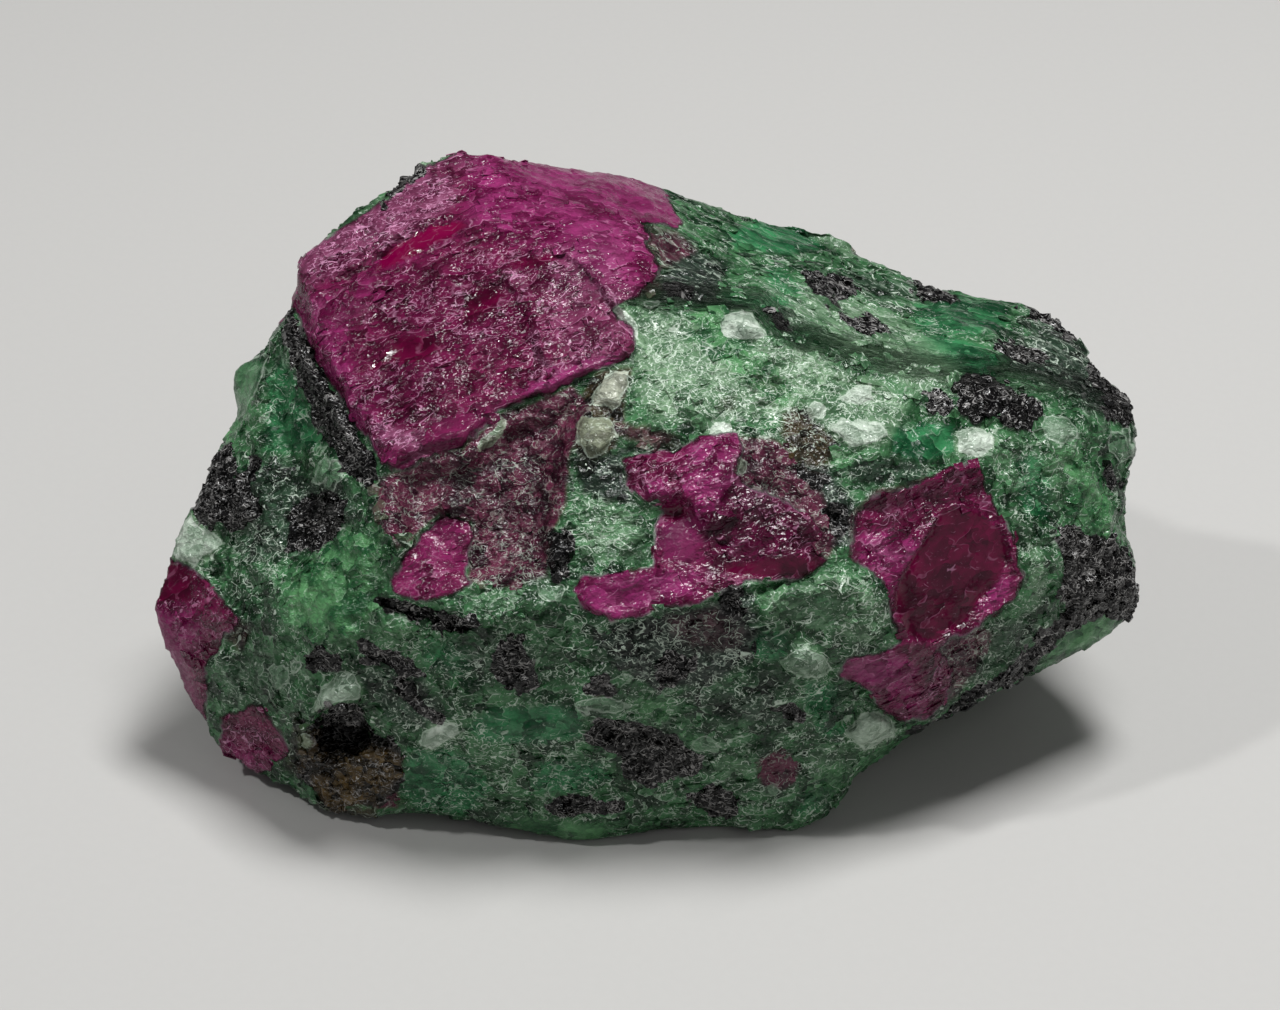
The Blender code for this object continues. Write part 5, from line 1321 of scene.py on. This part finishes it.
def hornblende_group(colours):
    """Black hornblende, brown in places, with grey painted glints on its rims."""
    inputs = ["Tone", "Rim", "Brown"]
    tree, w, given, out = mineral_group("Hornblende", inputs)
    colour = w.blend(given["Tone"], opaque(colours.black), opaque(colours.black_sheen))
    brown = w.blend(given["Tone"], opaque(colours.brown_shade), opaque(colours.golden))
    colour = w.blend(w.product(given["Brown"], 0.85), colour, brown)
    colour = w.blend(w.product(given["Rim"], 0.85), colour, opaque(colours.painted_glints))
    w.tree.links.new(colour, out["Colour"])
    return tree


def opaque(colour):
    """A colour property as a shader colour."""
    return (*colour, 1.0)


def toned(w, tone_with_painted_shade, colours, name):
    """A tint between its shade and its light, by the tone, which carries painted shade."""
    return w.blend(tone_with_painted_shade, opaque(getattr(colours, f"{name}_shade")), opaque(getattr(colours, name)))


# Two sizes of grains in the finish: their size in millimetres, how far they curl, how wide their rims are.
BIG_GRAINS = (0.95, 1.0, 0.09)
SMALL_GRAINS = (0.42, 0.9, 0.16)
# The curls are pale broken edges painted bright as highlights.
# Three sizes of curls: their size in millimetres, the width of their lines, how bright they are where there
# are few of them, how much brighter where there are many, and how high they stand.
CURLS = ((1.25, 0.011, 1.0, 0.0, 0.16), (0.6, 0.02, 0.5, 0.6, 0.12), (0.33, 0.034, 0.2, 0.55, 0.07))
# How deep the relief of the finish is, in metres.
FINE_RELIEF = 0.00026
# How rough each mineral is, and the gloss of them all.
ROUGHNESS = {"zoisite": 0.24, "ruby": 0.18, "hornblende": 0.16, "clear ruby": 0.1}
GLOSS = 0.34


def stone_finish(colours):
    """The one finish of the skin and its crystals: each mineral where its attribute says that it grows."""
    material = bpy.data.materials.get("ruby_in_zoisite")
    if material is not None:
        return material
    broken_grains_group()
    curls_group()
    zoisite_group(colours)
    ruby_group(colours)
    hornblende_group(colours)
    material = bpy.data.materials.new("ruby_in_zoisite")
    material.use_nodes = True
    w = Wiring(material.node_tree)
    shader = material.node_tree.nodes["Principled BSDF"]
    places = w.way("SCALE", w.node("ShaderNodeTexCoord").outputs["Object"], 1.0 / MM)
    read = {}
    for name in FIELDS:
        node = w.node("ShaderNodeAttribute", attribute_type="GEOMETRY", attribute_name=name)
        read[name] = node.outputs["Fac"]
    fine = w.noise(places, 0.42, 3.0, 0.6)
    ragged = w.total(-0.2, (fine, 0.4))
    ruby_depth = w.sum("ADD", read["ruby"], ragged)
    is_ruby = w.step(ruby_depth, -0.1, 0.1)
    is_black = w.step(w.sum("ADD", read["hornblende"], ragged), -0.05, 0.05)
    is_glassy = w.step(w.sum("ADD", read["glassy"], ragged), -0.15, 0.2)
    clear = w.product(is_ruby, is_glassy)

    # the grains of each mineral are drawn out along its own run
    frames = []
    for stretch, run, over in (
        (0.75, ACROSS, UP), (0.5, SHINGLE_RUN, SHINGLE_RUN.cross(OUT)), (0.62, SCALE_RUN, SCALE_OVER),
    ):
        ways = [w.way("DOT_PRODUCT", places, tuple(axis), output=1) for axis in (stretch * run, over, OUT)]
        frames.append(w.node("ShaderNodeCombineXYZ", dict(enumerate(ways))).outputs[0])
    drawn_out = w.mixed_way(read["shingled"], frames[0], frames[1])
    drawn_out = w.mixed_way(is_ruby, drawn_out, frames[2])
    grains = []
    for size, curl, width in (BIG_GRAINS, SMALL_GRAINS):
        sized = w.way("SCALE", drawn_out, 1.0 / size)
        grains.append(w.group("Broken grains", {"Places": sized, "Curl": curl, "Width": width}))
    big, small = grains

    # bright broken edges, partly pale frost and partly painted highlights and glints, thicker in some places
    # than in others
    broad = w.noise(places, 3.2, 2.0, 0.55)
    density = w.total(
        -1.1, (broad, 1.2), (w.noise(drawn_out, 1.1, 1.0), 1.8), (read["glitter"], 0.5), (read["pale"], 0.25),
        (read["waxy"], -0.6), (clear, -0.6), (is_ruby, -0.3), (is_black, 0.2), clamp=True,
    )
    rim = w.product(big["Crest"], big["Luck"], 0.7)
    height = w.total(0.0, (big["Rise"], 0.7), (small["Rise"], 0.3))
    for size, width, few, more, ridge in CURLS:
        sized = w.way("SCALE", drawn_out, 1.0 / size)
        curls = w.group("Curls", {"Places": sized, "Density": density, "Width": width})
        rim = w.most(rim, w.product(curls["Curl"], w.total(few, (density, more))))
        height = w.total(height, (curls["Ridge"], ridge))
    rim = w.most(rim, w.product(small["Spark"], density, 0.6), clamp=True)
    calm = w.total(1.0, (w.most(clear, w.product(read["waxy"], 0.7)), -0.9))
    height = w.product(height, calm)
    # the tone: random from place to place and grain to grain, with painted shade on the low side of each big
    # broken grain
    tone_with_painted_shade = w.total(
        -0.25, (broad, 0.9), (fine, 0.5), (big["Luck"], 0.35), (small["Luck"], 0.2), (big["Rise"], 0.4),
        (read["luck"], 0.5),
    )
    tone_with_painted_shade = w.step(tone_with_painted_shade, 0.55, 1.4)

    # the seams round single clear grains and round the ruby
    grain_depth = w.total(read["grain"], (ragged, 0.6))
    is_grain = w.step(grain_depth, -0.03, 0.05)
    seam = w.product(w.step(grain_depth, -0.04, 0.0), w.step(grain_depth, 0.03, 0.12, 1.0, 0.0))
    seam = w.product(seam, w.total(-0.35, (w.noise(places, 0.8, 1.0), 1.6)))
    border = w.step(w.sum("ABSOLUTE", ruby_depth), 0.03, 0.14, 0.8, 0.0)
    border = w.product(border, w.step(w.noise(places, 1.7, 1.0), 0.45, 0.6))
    rim = w.product(rim, w.total(1.0, (read["waxy"], -0.7)), w.total(1.0, (is_grain, -0.3)))
    rim = w.most(rim, w.most(seam, border), clamp=True)

    shared = {"Tone": tone_with_painted_shade, "Rim": rim}
    tints = {name: read[name.lower()] for name in ZOISITE_TINTS}
    zoisite = w.group("Zoisite", {**shared, "Ragged": ragged, "Clear grain": is_grain, **tints})
    tints = {name: read[name.lower()] for name in RUBY_TINTS}
    ruby = w.group("Ruby", {**shared, "Glassy": is_glassy, **tints})
    black = w.group("Hornblende", {**shared, "Brown": read["brown"]})
    colour = w.blend(is_ruby, zoisite["Colour"], ruby["Colour"])
    colour = w.blend(is_black, colour, black["Colour"])
    rough = w.mixed(is_ruby, ROUGHNESS["zoisite"], ROUGHNESS["ruby"])
    rough = w.mixed(is_black, rough, ROUGHNESS["hornblende"])
    rough = w.mixed(clear, rough, ROUGHNESS["clear ruby"])
    rough = w.product(w.total(rough, (read["waxy"], 0.06)), w.step(small["Luck"], 0.1, 0.9, 1.4, 0.7))
    bump = w.node("ShaderNodeBump", {"Strength": 1.0, "Distance": FINE_RELIEF, "Height": height})
    w.tree.links.new(colour, shader.inputs["Base Color"])
    w.tree.links.new(rough, shader.inputs["Roughness"])
    w.tree.links.new(bump.outputs[0], shader.inputs["Normal"])
    shader.inputs["IOR"].default_value = 1.5
    shader.inputs["Specular IOR Level"].default_value = GLOSS
    return material


# ------------------------------------------------------------------ what a user would change

def metres(name, description, default, low, high):
    """A property that is a length, in metres."""
    return bpy.props.FloatProperty(
        name=name, description=description, default=default, min=low, max=high, unit="LENGTH"
    )


def number(name, description, default, low, high):
    """A property that counts things."""
    return bpy.props.IntProperty(name=name, description=description, default=default, min=low, max=high)


class StoneSizes(bpy.types.PropertyGroup):
    """The sizes of the skin and its crystals."""

    skin_grid: metres("Skin grid", "The side of the skin's smallest faces", 0.00018, 0.0001, 0.002)
    skin_faces: number("Skin triangles", "How many triangles the skin keeps", 190000, 20000, 198000)
    ruby_scale: metres("Ruby scale", "The longest side of a ruby scale", 0.0008, 0.0003, 0.004)
    ruby_spots: number("Ruby spots", "How many spots are tried for ruby scales", 14000, 0, 60000)
    hornblende_crystal: metres("Hornblende crystal", "The longest hornblende crystal", 0.0011, 0.0003, 0.004)
    hornblende_spots: number("Hornblende spots", "How many spots are tried for hornblende", 14000, 0, 60000)
    zoisite_grain: metres("Zoisite grain", "The longest zoisite grain", 0.0013, 0.0003, 0.004)
    zoisite_spots: number("Zoisite spots", "How many spots are tried for zoisite grains", 6500, 0, 60000)
    foot_fade: metres("Foot fade", "How far above the ground the relief begins", 0.0008, 0.0, 0.005)


def tint(name, description, red, green, blue):
    """A colour property that starts at a display colour of 0-255 a channel."""
    linear = tuple((channel / 255.0) ** 2.2 for channel in (red, green, blue))
    return bpy.props.FloatVectorProperty(name=name, description=description, subtype="COLOR", default=linear)


class StoneColours(bpy.types.PropertyGroup):
    """The tints of the minerals."""

    # Each mineral goes from its shade to its light by a tone that is mostly random and partly painted shade
    # on the low side of each grain.
    green_shade: tint("Zoisite shade", "Zoisite at its darkest", 12, 43, 23)
    green: tint("Zoisite", "Zoisite at its lightest", 72, 119, 79)
    pale_shade: tint("Pale shade", "Pale zoisite at its darkest", 68, 102, 72)
    pale: tint("Pale", "Pale zoisite at its lightest", 120, 152, 119)
    fresh_shade: tint("Fresh shade", "Yellow-green zoisite at its darkest", 30, 74, 44)
    fresh: tint("Fresh", "Yellow-green zoisite at its lightest", 90, 142, 94)
    emerald_shade: tint("Emerald shade", "Deep green zoisite at its darkest", 14, 60, 36)
    emerald: tint("Emerald", "Deep green zoisite at its lightest", 58, 128, 82)
    dark_shade: tint("Dark shade", "Dark mixed rock at its darkest", 10, 14, 12)
    dark: tint("Dark", "Dark mixed rock at its lightest", 52, 66, 57)
    mauve_shade: tint("Mauve shade", "Mauve rim rock at its darkest", 40, 16, 28)
    mauve: tint("Mauve", "Mauve rim rock at its lightest", 98, 48, 68)
    brown_shade: tint("Brown shade", "Brown mica at its darkest", 16, 13, 9)
    brown: tint("Brown", "Brown mica at its lightest", 70, 62, 46)
    clear_green: tint("Clear green", "Single clear grains of zoisite", 104, 136, 108)
    clear_white: tint("Clear white", "Single whitish grains", 226, 236, 224)
    clear_khaki: tint("Clear khaki", "Single khaki grains", 170, 168, 144)
    # pale frost and painted highlights on the rims of zoisite
    frost_and_highlight: tint("Frost", "Broken rims of zoisite", 205, 222, 204)
    ruby_shade: tint("Ruby shade", "Ruby at its darkest", 60, 4, 34)
    ruby: tint("Ruby", "Ruby at its lightest", 112, 32, 72)
    pink_shade: tint("Pink shade", "Bruised ruby at its darkest", 92, 8, 58)
    pink: tint("Pink", "Bruised ruby at its lightest", 158, 56, 116)
    # pale frost and painted highlights on the rims of ruby
    ruby_frost_and_highlight: tint("Ruby frost", "Broken rims of ruby", 214, 152, 188)
    glassy_shade: tint("Clear ruby shade", "Clear ruby at its darkest", 54, 0, 30)
    glassy: tint("Clear ruby", "Clear ruby at its lightest", 92, 3, 50)
    deep_shade: tint("Deep ruby shade", "Dark ruby at its darkest", 42, 2, 24)
    deep: tint("Deep ruby", "Dark ruby at its lightest", 76, 14, 48)
    bruised_shade: tint("Bruised shade", "Frosted ruby at its darkest", 96, 34, 68)
    bruised: tint("Bruised", "Frosted ruby at its lightest", 176, 118, 152)
    waxy: tint("Waxy ruby", "Smooth waxy ruby", 132, 50, 98)
    painted_backlight: tint("Vivid ruby", "Clear ruby lit from behind", 112, 2, 58)
    golden: tint("Golden brown", "Brown stain on hornblende", 112, 92, 58)
    black: tint("Hornblende", "Hornblende at its darkest", 3, 3, 3)
    black_sheen: tint("Hornblende sheen", "Hornblende at its lightest", 26, 25, 26)
    # grey painted glints on the rims of hornblende
    painted_glints: tint("Dust", "Grey dust on the rims of hornblende", 164, 162, 160)


class StageLook(bpy.types.PropertyGroup):
    """The floor and the lights."""

    floor: bpy.props.FloatVectorProperty(
        name="Floor", description="The floor's tint", subtype="COLOR", default=(0.52, 0.515, 0.5)
    )
    key: bpy.props.FloatProperty(
        name="Key light", description="Strength of the light overhead", default=1.5, min=0.0, unit="POWER"
    )
    fill: bpy.props.FloatProperty(
        name="Fill light", description="Strength of the light in front", default=0.4, min=0.0, unit="POWER"
    )
    glint: bpy.props.FloatProperty(
        name="Glint light", description="Strength of the small light", default=0.35, min=0.0, unit="POWER"
    )


# ------------------------------------------------------------------ the pieces

class STONE_OT_skin(bpy.types.Operator):
    """Grow the stone's skin over its solid"""

    bl_idname = "stone.grow_skin"
    bl_label = "Grow skin"

    def execute(self, context):
        sizes = context.scene.stone_sizes
        skin = shown_piece("stone_skin", merged_solid())
        remesh = skin.modifiers.new("grid", "REMESH")
        remesh.mode = "VOXEL"
        remesh.voxel_size = sizes.skin_grid
        mesh = modified(skin)
        points = vertex_places(mesh)
        minerals = minerals_at(points)
        relief = skin_relief(points, minerals) * eased(points[:, 2], 0.1, sizes.foot_fade / MM)
        points += vertex_normals(mesh) * relief[:, None]
        place_vertices(mesh, points)
        count = sum(len(face.vertices) - 2 for face in mesh.polygons)
        if count > sizes.skin_faces:
            thin = skin.modifiers.new("thin", "DECIMATE")
            thin.ratio = sizes.skin_faces / count
            mesh = modified(skin)
        points = vertex_places(mesh)
        place_vertices(mesh, points)
        minerals = minerals_at(points)
        minerals["luck"] = zoisite_relief(points, minerals["shingled"])[1]
        for name, values in minerals.items():
            set_attribute(mesh, name, values)
        for face in mesh.polygons:
            face.use_smooth = True
        mesh.materials.clear()
        mesh.materials.append(stone_finish(context.scene.stone_colours))
        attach(skin, "root")
        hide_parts(STONE)
        return {"FINISHED"}


class STONE_OT_ruby(bpy.types.Operator):
    """Set thin scales of ruby into its faces"""

    bl_idname = "stone.set_ruby_scales"
    bl_label = "Set ruby scales"

    def execute(self, context):
        sizes = context.scene.stone_sizes
        chance, fields, spots = crystals_begun(11, sizes.ruby_spots)
        at = {name: values[spots[0]] for name, values in fields.items()}
        keep = (at["ruby"] > 0.15) & (at["glassy"] < -0.1) & (at["hornblende"] < -0.2)
        keep &= at["waxy"] < chance.uniform(0.1, 0.6, len(keep))
        spots, count = kept_spots(spots, keep)
        span = random_sizes(sizes.ruby_scale, 1.5, count, chance)
        scale = np.stack([span * chance.uniform(0.9, 1.6, count), span, 0.12 * span], axis=1)
        turns = upright_turns(spots[2], -0.05 * UP, 0.09, chance)
        fields["ruby"] = np.maximum(fields["ruby"], 1.0)
        joined_crystals("ruby_scales", "plate", spots, scale, turns, 0.34, fields, chance)
        return {"FINISHED"}


class STONE_OT_hornblende(bpy.types.Operator):
    """Set stubby black crystals into the hornblende"""

    bl_idname = "stone.set_hornblende"
    bl_label = "Set hornblende crystals"

    def execute(self, context):
        sizes = context.scene.stone_sizes
        chance, fields, spots = crystals_begun(12, sizes.hornblende_spots)
        keep = fields["hornblende"][spots[0]] > chance.uniform(-0.1, 0.25, len(spots[0]))
        spots, count = kept_spots(spots, keep)
        span = random_sizes(sizes.hornblende_crystal, 1.3, count, chance)
        width, depth = chance.uniform(0.6, 1.1, count), chance.uniform(0.5, 0.9, count)
        scale = np.stack([span * width, span * depth, 0.8 * span], axis=1)
        turns = upright_turns(spots[2], (0.0, 0.0, 0.0), 0.5, chance)
        fields["hornblende"] = np.maximum(fields["hornblende"], 1.0)
        joined_crystals("hornblende_crystals", "prism", spots, scale, turns, 0.3, fields, chance)
        return {"FINISHED"}


class STONE_OT_zoisite(bpy.types.Operator):
    """Set broken grains of zoisite into the green rock"""

    bl_idname = "stone.set_zoisite"
    bl_label = "Set zoisite grains"

    def execute(self, context):
        sizes = context.scene.stone_sizes
        chance, fields, spots = crystals_begun(13, sizes.zoisite_spots)
        at = {name: values[spots[0]] for name, values in fields.items()}
        keep = (at["ruby"] < -0.15) & (at["hornblende"] < -0.1) & (at["grain"] < -0.3)
        keep &= at["waxy"] < chance.uniform(0.1, 0.6, len(keep))
        spots, count = kept_spots(spots, keep)
        span = random_sizes(sizes.zoisite_grain, 1.6, count, chance)
        width, depth = chance.uniform(0.7, 1.3, count), chance.uniform(0.6, 1.0, count)
        scale = np.stack([span * width, span * depth, 0.3 * span], axis=1)
        turns = upright_turns(spots[2], (0.0, 0.0, 0.0), 0.16, chance)
        fields["ruby"] = np.minimum(fields["ruby"], -1.0)
        fields["hornblende"] = np.minimum(fields["hornblende"], -1.0)
        joined_crystals("zoisite_grains", "block", spots, scale, turns, 0.36, fields, chance)
        return {"FINISHED"}


# Half a side of the floor, what the lights are turned to, and each light's place and size, in metres.
FLOOR_HALF = 2.0
LIGHT_AIM = Vector((0.0, 0.0, 0.014))
LIGHTS = (
    ("key", (0.08, 0.06, 0.38), 0.12),
    ("fill", (0.3, -0.4, 0.3), 0.6),
    ("glint", (-0.22, -0.04, 0.3), 0.02),
)
STUDIO_TINT = (0.09, 0.09, 0.092, 1.0)
CAMERA_FILM = 36.0


def soft_light(name, place, watts, size):
    """A square soft light at a place, turned to the stone."""
    lamp = bpy.data.lights.new(name, "AREA")
    lamp.energy = watts
    lamp.size = size
    thing = bpy.data.objects.new(name, lamp)
    thing.location = place
    thing.rotation_mode = "QUATERNION"
    thing.rotation_quaternion = (LIGHT_AIM - Vector(place)).to_track_quat("-Z", "Y")
    bpy.context.scene.collection.objects.link(thing)


class STONE_OT_stage(bpy.types.Operator):
    """Set the floor, the lights and the camera"""

    bl_idname = "stone.set_stage"
    bl_label = "Set stage"

    def execute(self, context):
        look = context.scene.stage_look
        shape = bmesh.new()
        bmesh.ops.create_grid(shape, x_segments=1, y_segments=1, size=FLOOR_HALF)
        floor = shown_piece("floor", shape)
        material = bpy.data.materials.new("pale_floor")
        material.use_nodes = True
        w = Wiring(material.node_tree)
        places = w.node("ShaderNodeTexCoord").outputs["Object"]
        mottle = w.step(w.noise(places, 0.0006, 2.0), 0.3, 0.7)
        dull = tuple(0.99 * channel for channel in look.floor)
        shader = material.node_tree.nodes["Principled BSDF"]
        w.tree.links.new(w.blend(mottle, opaque(dull), opaque(look.floor)), shader.inputs["Base Color"])
        shader.inputs["Roughness"].default_value = 0.6
        floor.data.materials.append(material)

        for name, place, size in LIGHTS:
            soft_light(name, place, getattr(look, name), size)
        world = bpy.data.worlds.new("studio")
        world.use_nodes = True
        world.node_tree.nodes["Background"].inputs["Color"].default_value = STUDIO_TINT
        context.scene.world = world

        lens = bpy.data.cameras.new("camera")
        lens.sensor_width = CAMERA_FILM
        lens.lens = CAMERA_FILM * SIGHT_DISTANCE / DRAWING_WIDTH
        lens.clip_start = 0.01
        camera = bpy.data.objects.new("camera", lens)
        camera.location = EYE * MM
        camera.rotation_mode = "QUATERNION"
        camera.rotation_quaternion = (-OUT).to_track_quat("-Z", "Y")
        context.scene.collection.objects.link(camera)
        context.scene.camera = camera
        context.scene.view_settings.view_transform = "Standard"
        return {"FINISHED"}


class STONE_PT_panel(bpy.types.Panel):
    """Lists the stone's pieces and their sizes"""

    bl_idname = "STONE_PT_panel"
    bl_label = "Ruby in zoisite"
    bl_space_type = "VIEW_3D"
    bl_region_type = "UI"
    bl_category = "Stone"

    def draw(self, context):
        for group in (context.scene.stone_sizes, context.scene.stone_colours, context.scene.stage_look):
            for name in group.__annotations__:
                self.layout.prop(group, name)
        for operator in OPERATORS:
            self.layout.operator(operator.bl_idname)


OPERATORS = (STONE_OT_skin, STONE_OT_ruby, STONE_OT_hornblende, STONE_OT_zoisite, STONE_OT_stage)
GROUPS = {"stone_sizes": StoneSizes, "stone_colours": StoneColours, "stage_look": StageLook}


def register():
    for group in GROUPS.values():
        bpy.utils.register_class(group)
    for operator in OPERATORS:
        bpy.utils.register_class(operator)
    bpy.utils.register_class(STONE_PT_panel)
    for name, group in GROUPS.items():
        setattr(bpy.types.Scene, name, bpy.props.PointerProperty(type=group))


def unregister():
    for name in GROUPS:
        delattr(bpy.types.Scene, name)
    bpy.utils.unregister_class(STONE_PT_panel)
    for operator in reversed(OPERATORS):
        bpy.utils.unregister_class(operator)
    for group in reversed(GROUPS.values()):
        bpy.utils.unregister_class(group)


def main():
    register()
    bpy.ops.stone.grow_skin()
    bpy.ops.stone.set_ruby_scales()
    bpy.ops.stone.set_hornblende()
    bpy.ops.stone.set_zoisite()
    bpy.ops.stone.set_stage()


if __name__ == "__main__":
    main()
